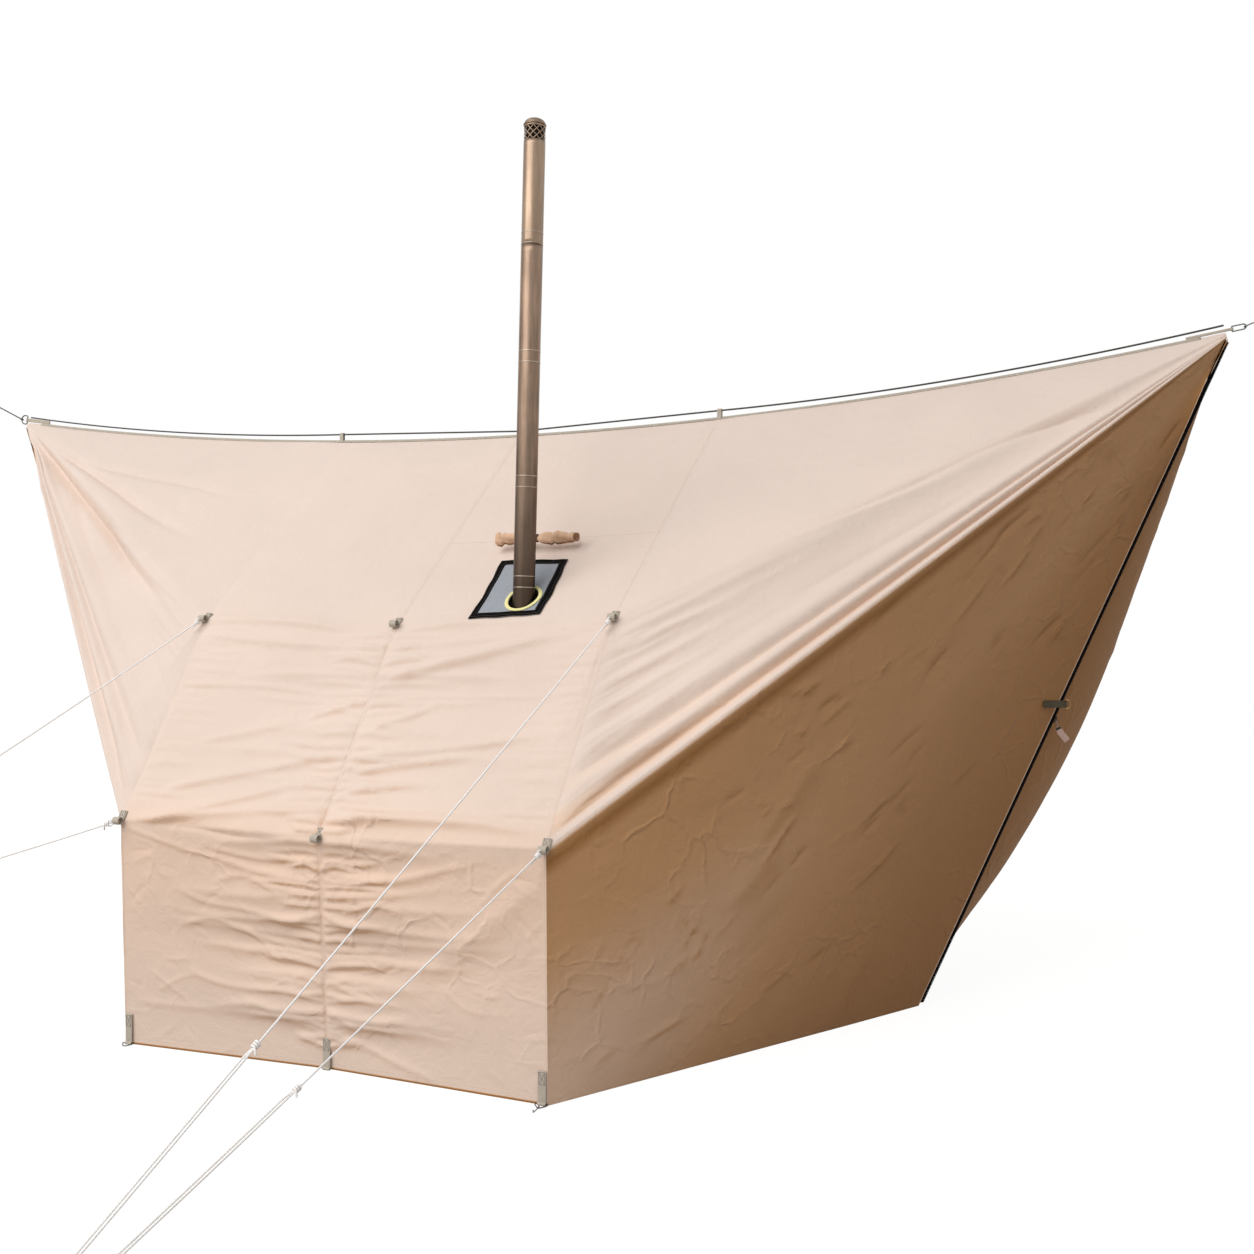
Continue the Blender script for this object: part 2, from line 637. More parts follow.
# where a line leaves its eye: past the bow or past the webbing's edge, whichever comes first
def eyeExit(eye, run):
    radius, fit, outwardShare = guylines["radius"], guylines["fit"], math.hypot(run[1], run[2])
    pastBow = (guylines["eyeRadius"] + guylines["webbing"] + fit + radius * abs(run[0])) / outwardShare
    pastEdge = (guylines["webbingHalf"] + fit + radius * outwardShare / 2) / abs(run[0])
    return eye + run * min(pastBow, pastEdge)


# a straight run with a small dip
def dippedLine(start, stop, sag, t):
    return start * (1 - t) + stop * t - np.array([0, 0, 4 * sag]) * t * (1 - t)


# a line: its dipped run between eye and stake side, a tied loop and a hitch at each end; a doubled one has a second
# strand beside its lower part, up to a slip hitch
def addGuyline(name, row, xSign, end, sag):
    radius, lay = guylines["radius"], guylines["lay"]
    eye, stop = np.array(guylines["eyes"][row]) * (xSign, 1, 1), np.array(end)
    run = unit(stop - eye)
    start = eyeExit(eye, run)
    side = unit(np.cross(run, (0, 0, 1)))
    up = np.cross(side, run)
    line = dippedLine(start, stop, sag, np.linspace(0, 1, 40)[:, None])
    path = np.vstack([line, smoothPath(loopedEnd(stop, run, up, guylines["loop"], 0.4, 5.65, 13), 3)])
    piece = tube(name + "_cord", path, radius, whiteBraid, sides=14, **lay)
    onNode(piece, name, "canopy")
    knots = [addKnot(name + "_hitch", start + run * 0.012, run, side, up, radius)]
    knots.append(addKnot(name + "_end_hitch", stop - run * 0.006, run, side, up, radius, 2.2, 0.018))
    if name in guylines["doubled"]:
        split = guylines["doubled"][name]
        t = np.linspace(split, 1, 30)[:, None]
        beside = guylines["strandApart"] * np.clip((t - split) / 0.02, 0, 1) + guylines["secondBeside"]
        second = dippedLine(start, stop, sag, t) + beside * side
        knots.append(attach(tube(name + "_second_strand", second, radius, whiteBraid, sides=12, **lay), "canopy"))
        knots.append(addKnot(name + "_slip_hitch", second[0], run, side, up, radius * 1.15, 2.4, 0.034))
    turn = np.linspace(-2.5, 2.5, 20)[:, None]
    bow = start + run * 0.004 - 0.0068 * (np.cos(turn) * run - np.sin(turn) * up)
    knots.append(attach(tube(name + "_bight", bow, radius, whiteBraid, sides=10), "canopy"))


# the rope's bight round the ring's far bar, its run towards the tree and a tied loop
def addTreeRope():
    bar, radius = np.array(treeRope["bar"]), treeRope["radius"]
    away, across = unit(treeRope["away"]), np.array([0.0, 1.0, 0.0])
    eye = treeRope["ringWire"] + radius + 2 * guylines["fit"]
    a = np.linspace(-2.5, 2.5, 11)[:, None]
    bight = bar - eye * (np.cos(a) * away - np.sin(a) * across)
    start, stop = bar + away * (eye + 0.016), bar + away * treeRope["reach"]
    straight = dippedLine(start, stop, 0.0, np.linspace(0, 1, 6)[:, None])
    knot = loopedEnd(stop, away, across, guylines["loop"], 0.35, 5.6, 12)
    path = smoothPath(np.vstack([bight, straight, knot]), 4)
    piece = tube("tree_rope_left_cord", path, radius, darkBraid, sides=14)
    onNode(piece, "tree_rope_left", "ring_left")


for name, line in guylines["runs"].items():
    addGuyline(name, *line)
addTreeRope()
print("cords laid")


# Cloth

canopy = {
    "halfRidge": 2.0,
    "apexHeight": 1.785,
    "ridgeDip": 0.156,
    "ridgeSeamX": 0.645,
    "side": [(0.602, -0.719, 1.058), (0.580, -1.060, 0.560), (0.577, -1.045, 0.0), (1.224, 0.0, 0.0)],
    "middle": [(0.0, -0.719, 1.044), (0.0, -1.060, 0.550), (0.0, -1.020, 0.0)],
    "drops": (0, 0.94, 1.545, 2.105),
    "panelLean": ([0, 0.9, 1.2, 1.8, 2.2, 3], [39, 39, 56, 56, 90, 90]),
    "outerSkin": 0.0025,
    "thickness": 0.0011,
    "lowest": 0.0004,
    "pucker": 0.007,
    "puckerReach": 0.10,
    "puckerRows": ([0.95, 1.3, 2.8, 3], [0, 1, 1, 0]),
    "puckerWaves": 2.6,
    "wallSag": 0.012,
    "sagRows": ([1, 1.5, 2, 2.5, 3], [0, 1, 0.1, 1, 0]),
    "crestFold": 0.014,
    "crestBumps": [(0.55, 2.01, 0.045), (-1.15, 1.93, 0.05), (0.9, 1.84, 0.05), (-0.7, 1.765, 0.045),
                   (0.9, 1.66, 0.09), (-0.7, 1.34, 0.20), (0.6, 1.05, 0.12)],
    "bulges": {"front_left": -0.060, "front_right": 0.0, "rear_left": 0.240, "rear_right": 0.240},
    "billowDown": [(0, 0), (0.1, 0.50), (0.3, 0.76), (0.5, 0.86), (0.7, 0.73), (0.85, 0.46), (1, 0)],
    "apexStart": 0.012,
    "zipParting": 0.015,
    "zipPartsFrom": 0.80,
    "zipMargin": 0.0170,
    "fullerMargin": 0.0158,
    "panelRowParts": (46, 118, 150),
    "panelColumns": 145,
    "wingRowParts": (54, 130, 85, 60),
    "wingRays": 140,
    "zipRows": (3.9915, 3.9945, 3.997, 3.9985),
    "farShare": 0.55,
    "seamBand": 0.0009,
    "seamHalf": 0.005,
    "seamStill": 0.010,
    "seamTurn": 0.012,
    "zipStill": 0.012,
    "hemBand": 0.0008,
    "hemReach": 0.016,
    "hemEdge": 0.005,
    "backSeam": 0.619,
    "cutout": {
        "middle": (0.329, -0.65267, 1.11201),
        "axes": ((0, -.77514, -.63179), (-1, 0, 0), (0, -.63179, .77514)),
        "size": (0.048, 0.042),
    },
    "jackStill": ((0.3, -0.55, 1.2), (0.17, 0.24, 0.24)),
    "foldGain": {"roof": 3.15, "wall": 0.93, "wing": 2.025},
    "wallBelow": 0.56,
    "tones": ("#D8C6BA", "#DEC8B8", "#E2C3AC", "#C29469", "#9B6A39"),
    "toneRows": {
        "panel": ([0, 1.8, 2.1, 3], [0, 0.16, 0.46, 0.28]),
        "wing": ([0, 1.69, 1.765, 1.83, 1.89, 1.94, 1.98, 2.0, 2.02, 2.06, 2.12, 3, 4],
                 [0, 0.05, 0.30, 0.06, 0.44, 0.46, 0.05, 0.08, 0.85, 1.0, 0.80, 0.78, 0.95]),
    },
    "glow": {"row": 2.95, "rows": 0.42, "from": 0.45, "fade": 0.5, "depth": 0.22, "below": 2.1},
    "leftRoofTone": 0.2,
    "warmFold": 0.6,
    "paleEdge": (0.0045, 0.45),
    "stitchIn": {"hem": 0.014, "seam": 0.0045},
    "sheets": {"panel": ((0.63, 2.12), 1.28), "wing": ((2.15, 2.1), 2.3)},
}

# folds seen in the photograph, as width and height in mm and the points along them near the cloth; a height below
# nothing is a hollow
creaseLines = {
    "front_panel_right": [
        (9, 2.5, [(0.043, -0.729, 1.03), (0.207, -0.719, 1.048), (0.404, -0.712, 1.059)]),
        (13, 4, [(0.043, -0.809, 0.909), (0.239, -0.781, 0.957), (0.454, -0.748, 1.011)]),
        (6, 1.6, [(0.034, -0.847, 0.851), (0.145, -0.831, 0.864), (0.306, -0.832, 0.868), (0.56, -0.84, 0.878)]),
        (9, 3, [(0.051, -0.897, 0.792), (0.144, -0.864, 0.824), (0.204, -0.841, 0.851)]),
        (11, 3.5, [(0.042, -0.936, 0.726), (0.252, -0.918, 0.748), (0.463, -0.9, 0.782), (0.59, -0.9, 0.795)]),
        (9, 3, [(0.042, -0.957, 0.688), (0.151, -0.941, 0.71), (0.353, -0.927, 0.736)]),
        (9, 3, [(0.025, -0.996, 0.641), (0.134, -0.975, 0.66), (0.234, -0.969, 0.669)]),
        (15, 5, [(0.025, -1.039, 0.587), (0.175, -1.034, 0.597), (0.407, -1.03, 0.599), (0.556, -1.046, 0.581)]),
        (10, 2.5, [(0.137, -0.792, 0.941), (0.317, -0.762, 0.986), (0.549, -0.739, 1.028)]),
        (9, 3.5, [(0.025, -1.051, 0.464), (0.149, -1.047, 0.458), (0.282, -1.05, 0.483), (0.455, -1.058, 0.534)]),
        (9, 2.5, [(0.025, -1.052, 0.425), (0.116, -1.052, 0.418), (0.24, -1.049, 0.435), (0.364, -1.051, 0.461)]),
        (34, 7, [(0.563, -1.058, 0.488), (0.388, -1.044, 0.342), (0.149, -1.038, 0.174)]),
        (9, 3.5, [(0.017, -1.036, 0.212), (0.108, -1.039, 0.181), (0.165, -1.037, 0.158)]),
        (10, 4, [(0.001, -1.027, 0.094), (0.091, -1.023, 0.071), (0.19, -1.028, 0.04), (0.321, -1.034, 0.008)]),
        (8, 3, [(0.001, -1.03, 0.134), (0.066, -1.03, 0.118), (0.116, -1.024, 0.079)]),
        (8, 2.5, [(0.414, -1.051, 0.422), (0.48, -1.055, 0.486), (0.554, -1.059, 0.519)]),
        (7, 2.5, [(0.067, -1.052, 0.378), (0.141, -1.052, 0.402), (0.207, -1.05, 0.395)]),
        (7, 1.5, [(0.306, -1.034, 0.23), (0.38, -1.039, 0.183), (0.495, -1.045, 0.184)]),
        (9, -2, [(0.599, -0.754, 1.008), (0.594, -0.831, 0.894), (0.59, -0.905, 0.788)]),
    ],
    "front_panel_left": [
        (10, 3, [(-0.593, -0.719, 1.058), (-0.344, -0.719, 1.052), (-0.001, -0.739, 1.016)]),
        (11, 3, [(-0.574, -0.749, 1.015), (-0.317, -0.757, 0.994), (-0.001, -0.768, 0.973)]),
        (6, 1.8, [(-0.569, -0.835, 0.886), (-0.323, -0.823, 0.883), (-0.111, -0.832, 0.863), (-0.001, -0.836, 0.875)]),
        (8, 3, [(-0.152, -0.876, 0.811), (-0.077, -0.861, 0.831), (-0.001, -0.851, 0.853)]),
        (12, 2.5, [(-0.445, -0.924, 0.746), (-0.295, -0.898, 0.777), (-0.11, -0.878, 0.812)]),
        (12, 3.5, [(-0.483, -1.005, 0.635), (-0.276, -0.965, 0.677), (-0.109, -0.941, 0.71), (-0.001, -0.939, 0.726)]),
        (12, 3.5, [(-0.489, -1.055, 0.565), (-0.242, -1.01, 0.624), (-0.126, -0.981, 0.654), (-0.001, -0.968, 0.684)]),
        (12, 3, [(-0.555, -1.06, 0.56), (-0.332, -1.041, 0.584), (-0.117, -1.03, 0.603)]),
        (11, -6, [(-0.58, -1.061, 0.56), (-0.381, -1.06, 0.556), (-0.207, -1.057, 0.537), (-0.001, -1.06, 0.542)]),
        (9, 4, [(-0.323, -1.053, 0.507), (-0.158, -1.048, 0.488), (-0.001, -1.056, 0.495)]),
        (8, 3, [(-0.571, -1.06, 0.544), (-0.397, -1.054, 0.501), (-0.257, -1.049, 0.475),
                (-0.108, -1.049, 0.441), (-0.017, -1.052, 0.425)]),
        (9, 3.5, [(-0.405, -1.049, 0.398), (-0.331, -1.046, 0.373), (-0.215, -1.046, 0.364),
                (-0.075, -1.047, 0.347), (-0.017, -1.046, 0.346)]),
        (8, 3.5, [(-0.413, -1.042, 0.31), (-0.314, -1.04, 0.333), (-0.223, -1.034, 0.309),
                (-0.116, -1.03, 0.284), (-0.058, -1.032, 0.252)]),
        (9, 3.5, [(-0.388, -1.039, 0.199), (-0.272, -1.037, 0.174), (-0.116, -1.039, 0.181), (-0.025, -1.037, 0.204)]),
        (10, 2.5, [(-0.536, -1.046, 0.112), (-0.363, -1.036, 0.111), (-0.223, -1.034, 0.135), (-0.075, -1.038, 0.158)]),
        (6, 1.8, [(-0.503, -1.046, 0.192), (-0.421, -1.04, 0.143), (-0.363, -1.036, 0.103)]),
        (6, 1.8, [(-0.478, -1.044, 0.144), (-0.404, -1.04, 0.183), (-0.347, -1.038, 0.191)]),
        (6, 3, [(-0.24, -1.038, 0.325), (-0.182, -1.031, 0.292), (-0.132, -1.03, 0.252), (-0.058, -1.033, 0.244)]),
        (7, 1.8, [(-0.496, -1.056, 0.487), (-0.471, -1.053, 0.439), (-0.422, -1.051, 0.422)]),
        (8, 2.5, [(-0.306, -1.049, 0.428), (-0.207, -1.048, 0.443), (-0.083, -1.053, 0.394)]),
    ],
    "front_wing_left": [
        (26, -21, [(-1.863, -0.086, 1.693), (-1.473, -0.296, 1.478), (-1.224, -0.43, 1.34),
                (-1.002, -0.556, 1.207), (-0.777, -0.663, 1.101)]),
        (15, -9, [(-1.739, -0.118, 1.662), (-1.396, -0.249, 1.516), (-1.24, -0.313, 1.448),
                (-1.033, -0.394, 1.36), (-0.835, -0.451, 1.293)]),
        (13, -6, [(-1.532, -0.176, 1.588), (-1.295, -0.203, 1.536), (-1.063, -0.228, 1.493), (-0.823, -0.276, 1.433)]),
        (12, 5, [(-1.204, -0.426, 1.347), (-0.881, -0.595, 1.175), (-0.662, -0.693, 1.082)]),
        (9, -8, [(-1.337, -0.459, 1.166), (-1.154, -0.577, 0.994), (-0.973, -0.666, 0.777), (-0.912, -0.657, 0.586)]),
        (14, -7, [(-1.482, -0.316, 1.454), (-1.2, -0.502, 1.245), (-0.975, -0.644, 1.087)]),
        (9, 1.5, [(-0.819, -0.729, 1.004), (-0.69, -0.802, 0.925), (-0.593, -0.861, 0.852)]),
    ],
    "front_wing_right": [
        (16, -5, [(1.728, -0.173, 1.595), (1.447, -0.289, 1.492), (1.235, -0.402, 1.376),
                (0.994, -0.513, 1.265), (0.687, -0.656, 1.118), (0.604, -0.691, 1.081)]),
        (12, 4, [(0.604, -0.878, 0.825), (0.735, -0.797, 0.916), (0.885, -0.709, 1.007)]),
        (12, 4, [(0.601, -0.924, 0.753), (0.731, -0.837, 0.84), (0.847, -0.761, 0.919)]),
        (12, 3.5, [(0.607, -0.831, 0.896), (0.762, -0.747, 0.991), (0.933, -0.65, 1.097)]),
        (12, 3.5, [(0.609, -0.973, 0.677), (0.716, -0.91, 0.744), (0.832, -0.842, 0.823)]),
        (10, 2.5, [(0.599, -0.778, 0.973), (0.764, -0.701, 1.052), (0.934, -0.626, 1.128)]),
        (10, 2.5, [(0.849, -0.575, 1.2), (1.121, -0.465, 1.311), (1.371, -0.348, 1.424)]),
        (12, -3, [(1.03, -0.61, 1.124), (1.24, -0.482, 1.259), (1.46, -0.347, 1.396)]),
        (9, 2, [(1.495, -0.183, 1.003), (1.546, -0.175, 1.106), (1.581, -0.184, 1.207)]),
        (7, 1.8, [(0.811, -0.693, 0.162), (0.895, -0.579, 0.173), (0.991, -0.421, 0.102)]),
        (6, 1.5, [(1.027, -0.377, 0.129), (1.083, -0.305, 0.149), (1.145, -0.178, 0.083)]),
        (7, 1.3, [(1.163, -0.58, 1.01), (1.211, -0.578, 1.08), (1.262, -0.541, 1.125)]),
        (7, 1.6, [(0.591, -1.017, 0.092), (0.678, -0.881, 0.093), (0.808, -0.68, 0.036)]),
    ],
}

# short folds sown over a region of each cloth: seed, how many, their length, width and height in mm, the rows they
# start in, and what they start from
sownFolds = {
    "panel": [
        (11, 44, (45, 130), (7, 10), (2.6, 5.0), (1.05, 2.92), "middle"),
        (15, 16, (120, 260), (10, 16), (2.0, 4.0), (1.08, 2.9), "middle"),
        (16, 36, (40, 110), (6, 9), (1.4, 3.0), (1.02, 1.95), "seam"),
        (12, 36, (40, 110), (4, 7), (-1.6, 1.6), (2.05, 2.95), ""),
        (13, 16, (60, 150), (10, 16), (-1.2, 1.4), (1.1, 1.95), ""),
        (14, 14, (60, 160), (12, 20), (-1.2, 1.2), (0.1, 0.95), ""),
    ],
    "wing": [
        (24, 20, (140, 380), (9, 15), (1.2, 2.8), (1.10, 1.97), "seam"),
        (25, 36, (40, 120), (6, 9), (1.4, 3.0), (1.02, 1.95), "seam"),
        (21, 90, (40, 150), (6, 10), (-2.8, 2.8), (2.15, 3.85), ""),
        (23, 10, (200, 420), (22, 40), (-4.0, 4.0), (2.3, 3.7), ""),
        (22, 24, (60, 180), (12, 20), (-1.2, 1.2), (0.1, 1.95), "fan"),
    ],
}


def ridgeHeight(x):
    return canopy["apexHeight"] - canopy["ridgeDip"] * (1 - (x / canopy["halfRidge"]) ** 2)


def ridgeEnd():
    return np.array([canopy["halfRidge"], 0.0, canopy["apexHeight"]])


# points along straight runs between the nodes, one unit for each run
def alongNodes(nodes, values):
    return readAt(values, np.arange(len(nodes)), nodes)


def sideNodes():
    x = canopy["ridgeSeamX"]
    return [(x, 0.0, ridgeHeight(x))] + canopy["side"]


def middleNodes():
    return [(0.0, 0.0, ridgeHeight(0.0))] + canopy["middle"]


# rows packed more closely where the cloth is folded
def rowValues(parts, share):
    runs = [np.linspace(k, k + 1, max(8, int(n * share)), endpoint=False) for k, n in enumerate(parts)]
    return np.concatenate(runs + [[float(len(parts))]])


# the same rows with a few more across the lap seam behind the jack
def panelRowValues(share):
    seam = canopy["backSeam"] + np.linspace(-0.012, 0.012, 13)
    return np.sort(np.concatenate([rowValues(canopy["panelRowParts"], share), seam]))


def panelUpright(rows):
    turn = np.interp(rows, canopy["panelLean"][0], np.radians(canopy["panelLean"][1]))
    return together(0, -np.sin(turn), np.cos(turn))


# straight lines between the middle and the outer seam, a sagging ridge, hollows between the seams and waves by the
# middle one
def panelSurface(rows, columns):
    inner, outer = alongNodes(middleNodes(), rows), alongNodes(sideNodes(), rows)
    grid = inner[:, None] * (1 - columns)[None, :, None] + outer[:, None] * columns[None, :, None]
    chord = (1 - columns) * ridgeHeight(0.0) + columns * ridgeHeight(canopy["ridgeSeamX"])
    hang = ridgeHeight(grid[0, :, 0]) - chord
    grid[:, :, 2] += hang[None, :] * np.clip(1 - rows, 0, 1)[:, None]
    reach = grid[:, :, 0] / canopy["puckerReach"]
    gathered = reach * np.exp(1 - reach) * np.interp(rows, *canopy["puckerRows"])[:, None]
    waves = np.cos(2 * math.pi * rows * canopy["puckerWaves"])[:, None]
    hollow = np.sin(math.pi * columns)[None, :] * np.interp(rows, *canopy["sagRows"])[:, None]
    lift = canopy["pucker"] * gathered * waves - canopy["wallSag"] * hollow
    upright = np.broadcast_to(panelUpright(rows)[:, None, :], grid.shape)
    return grid + lift[:, :, None] * upright, upright


def doorUpright():
    corner, foot = (np.array(p) for p in canopy["side"][2:])
    return -unit(np.cross(foot - ridgeEnd(), corner - foot))


def zipAway():
    return -unit(np.cross(ridgeEnd() - np.array(canopy["side"][3]), doorUpright()))


def zipParting(share):
    free = np.clip((share - canopy["zipPartsFrom"]) / (1 - canopy["zipPartsFrom"]), 0, 1)
    return canopy["zipParting"] * np.sin(math.pi * free) ** 1.5


# the door is a saddle: straight lines between the crest and the hem, both run from the wall's corner to the zip
def doorPatch(across, down):
    eave, corner, foot = (np.array(p) for p in canopy["side"][1:])
    across, down = across[..., None], down[..., None]
    top, hem = eave + across * (ridgeEnd() - eave), corner + across * (foot - corner)
    return top * (1 - down) + hem * down


# a cone from the ridge's end over the roof's outer seam with folds along its rays, and the door's saddle below the
# crest; a door that bulges is fullest near the zip
def wingSurface(rows, rays, bulge):
    apex, nodes = ridgeEnd(), sideNodes()
    edge, ahead, behind = (alongNodes(nodes, np.clip(rows + step, 0, 4)) for step in (0, 0.2, -0.2))
    upright = unit(np.cross(edge - apex, ahead - behind))
    onDoor = np.clip((rows - 2) / 0.6, 0, 1)[:, None]
    upright = unit(upright * (1 - onDoor) + doorUpright() * onDoor)
    grid = apex + rays[None, :, None] * (edge - apex)[:, None, :]
    across = 1 + rays[None, :] * (np.clip(rows - 3, 0, 1)[:, None] - 1)
    down = rays[None, :] * np.clip(rows - 2, 0, 1)[:, None]
    grid[rows >= 2] = doorPatch(across, down)[rows >= 2]
    x = grid[:, :, 0]
    seamX, half = canopy["ridgeSeamX"], canopy["halfRidge"]
    chord = canopy["apexHeight"] - (half - x) * (canopy["apexHeight"] - ridgeHeight(seamX)) / (half - seamX)
    sag = (ridgeHeight(x) - chord) * (1 - rays**10)[None, :]
    grid[:, :, 2] += sag * (np.clip(1 - rows, 0, 1)[:, None]) ** 1.5
    folds = sum(height * near(rows - centre, width) for height, centre, width in canopy["crestBumps"])
    window = rays * np.sqrt(np.clip(1 - rays, 0, 1)) * 2.0
    if bulge > 0:
        table = smoothPath(canopy["billowDown"], 8)
        swell = np.sin(math.pi * across**3.2) * np.interp(down, table[:, 0], table[:, 1])
        margin = canopy["fullerMargin"]
    else:
        swell = np.sin(math.pi * across**0.6) * np.sin(math.pi * down**0.8)
        margin = canopy["zipMargin"]
    zipSide = np.clip(rows - 3, 0, 1) ** 3
    lift = canopy["crestFold"] * (folds * (1 - zipSide))[:, None] * window[None, :] + bulge * swell
    upright = np.broadcast_to(upright[:, None, :], grid.shape)
    grid = grid + lift[:, :, None] * upright + (zipSide * margin)[:, None, None] * zipAway()
    grid[:, :, 1] -= zipSide[:, None] * zipParting(1 - rays)[None, :]
    return grid, upright


# surface normals of a grid by central differences, on the upright's side
def gridNormals(grid, upright):
    normal = np.cross(np.gradient(grid, axis=0), np.gradient(grid, axis=1))
    length = np.linalg.norm(normal, axis=-1, keepdims=True)
    normal = np.where(length > 1e-12, normal / np.maximum(length, 1e-12), upright)
    return normal * np.sign(np.einsum("ijk,ijk->ij", normal, upright))[..., None]


# one fold: a rounded ridge along a line, faded at both ends by the place along it; only points close to the line are
# worked on
def foldLift(points, line, width, height):
    lift = np.zeros(len(points))
    low, high = line.min(axis=0) - 3 * width, line.max(axis=0) + 3 * width
    close = np.flatnonzero(np.all((points > low) & (points < high), axis=1))
    run = runLength(line)
    best = np.full(len(close), 1e9)
    place = np.zeros(len(close))
    for a, b, start in zip(line[:-1], line[1:], run[:-1]):
        step = b - a
        t = np.clip((points[close] - a) @ step / max(step @ step, 1e-12), 0, 1)
        away = np.linalg.norm(points[close] - a - t[:, None] * step, axis=1)
        closer = away < best
        best = np.where(closer, away, best)
        place = np.where(closer, start + t * math.sqrt(step @ step), place)
    share = np.clip(place / run[-1], 0, 1)
    fade = np.minimum(np.minimum(1.0, (1 - share) * 2.5), 0.35 + share * 6)
    lift[close] = height * fade * near(best, width, 1.6)
    return lift


# half the distance between the grid's points on both sides of one, along the rows or across them
def gridStep(grid, i, j, down, across):
    i1, i0 = min(i + down, len(grid) - 1), max(i - down, 0)
    j1, j0 = min(j + across, grid.shape[1] - 1), max(j - across, 0)
    return max(np.linalg.norm(grid[i1, j1] - grid[i0, j0]) / 2, 1e-4)


# lines for the sown folds, each a short walk over the grid in its own direction
def sownLines(kind, grid, rows, columns):
    found = []
    t = np.linspace(0, 1, 6)
    for seed, count, lengths, widths, heights, rowRange, start in sownFolds[kind]:
        seeds = np.random.default_rng(seed)
        inside = np.flatnonzero((rows > rowRange[0]) & (rows < rowRange[1]))
        for k in range(count):
            i = int(seeds.choice(inside))
            length = seeds.uniform(*lengths) / 1000
            j, slope, heading, gain = columns - 1, 0.0, 1, 1.0
            if start == "middle":
                i, j = int(inside[int((k + 0.5) / count * len(inside))]), 0
                slope = seeds.normal(-0.02, 0.10)
                gain = 1.6 if rows[i] < 2 else 1.3
            elif start == "seam":
                i = int(inside[int((k + seeds.uniform(0.2, 0.8)) / count * len(inside))])
                heading = -1
            elif start == "fan":
                j = int(seeds.uniform(0.25, 0.85) * columns)
            else:
                j = int(seeds.uniform(0.08, 0.92) * columns)
                slope = math.tan(seeds.uniform(-0.9, 0.9))
            width = seeds.uniform(*widths) / 1000
            height = seeds.uniform(*heights) / 1000 * gain
            bend = seeds.normal(0, 0.08) * np.sin(math.pi * t)
            cosine = 1 / math.hypot(1, slope)
            sideways = heading * t * length * cosine / gridStep(grid, i, j, 0, 1)
            downwards = (t * slope * cosine + bend) * length / gridStep(grid, i, j, 1, 0)
            jj = np.clip(j + sideways, 0, columns - 1).astype(int)
            ii = np.clip(i + downwards, 0, len(rows) - 1).astype(int)
            line = grid[ii, jj]
            if runLength(line)[-1] > 0.4 * length:
                found.append((line, width, height))
    return found


# the seen folds of one cloth, highest on the roof and lowest on the wall
def seenLines(name):
    found = []
    for width, height, line in creaseLines.get(name, []):
        path = smoothPath(line, 5)
        part = "wing" if "wing" in name else "roof" if path[:, 2].mean() > canopy["wallBelow"] else "wall"
        found.append((path, width / 1000, height / 1000 * canopy["foldGain"][part]))
    return found


# all folds of one cloth, stilled beside its seams and near the jack
def clothFolds(name, kind, grid, rows, edges):
    points = grid.reshape(-1, 3)
    lift = np.zeros(len(points))
    for fold in seenLines(name) + sownLines(kind, grid, rows, grid.shape[1]):
        lift += foldLift(points, *fold)
    lift = lift.reshape(grid.shape[:2]) * (1 - near(edges, canopy["seamStill"]))
    if name == "front_panel_right":
        middle, size = (np.array(v) for v in canopy["jackStill"])
        lift *= 1 - near(np.linalg.norm((grid - middle) / size, axis=-1), 1, 6)
    return lift


canvas = canvasMaterial("polycottonCanvasSand", canopy["tones"])


# the cloth's tone at each point, and its thickness behind the skin that is shown
def thicken(made, tone, thickness):
    layer = made.data.attributes.new("tone", "FLOAT", "POINT")
    layer.data.foreach_set("value", np.asarray(tone, dtype=np.float32))
    shell = made.modifiers.new("thickness", "SOLIDIFY")
    shell.thickness = thickness
    shell.offset = -1.0


# the outer skin over the grid, thickened inwards, closed all round
def addClothPiece(name, skin, upright, tone, places, flat, area, jacked=False):
    rows, columns = skin.shape[:2]
    faces = gridFaces(rows, columns)
    points = skin.reshape(-1, 3)
    if jacked:
        # an oval cut-out behind the jack's hole: cells inside go, and the corners round it are drawn onto the oval
        middle, axes, size = (np.array(canopy["cutout"][k]) for k in ("middle", "axes", "size"))
        local = (points - middle) @ axes.T
        reach = np.linalg.norm(local[:, :2] / size, axis=1)
        inside = reach[faces].mean(axis=1) < 1
        kept = np.flatnonzero(np.isin(np.arange(len(points)), faces[~inside]))
        rim = np.intersect1d(faces[inside], kept)
        points = points + 0.0
        points[rim] += (local[rim, :2] * (1 / reach[rim] - 1)[:, None]) @ axes[:2]
        faces = faces[~inside]
    a, b, d = (points[faces[:, k]] for k in (0, 1, 3))
    if np.einsum("ij,ij->", np.cross(b - a, d - a), upright.reshape(-1, 3)[faces[:, 0]]) < 0:
        faces = faces[:, ::-1]
    used = np.unique(faces)
    renumbered = np.zeros(len(points), dtype=np.int64)
    renumbered[used] = np.arange(len(used))
    made = meshFrom(name + "_cloth", points[used], renumbered[faces], [], canvas, places.reshape(-1, 2)[faces.ravel()])
    thicken(made, tone.ravel()[used], canopy["thickness"])
    pairs = np.zeros(len(made.data.edges) * 2, dtype=np.int32)
    made.data.edges.foreach_get("vertices", pairs)
    row, column = np.divmod(used[pairs.reshape(-1, 2)], columns)
    ends = ((row, 0), (row, rows - 1), (column, 0), (column, columns - 1))
    rim = np.any([(at == end).all(axis=1) for at, end in ends], axis=0)
    made.data.attributes.new("sharp_edge", "BOOLEAN", "EDGE").data.foreach_set("value", rim)
    onNode(made, name, "canopy")


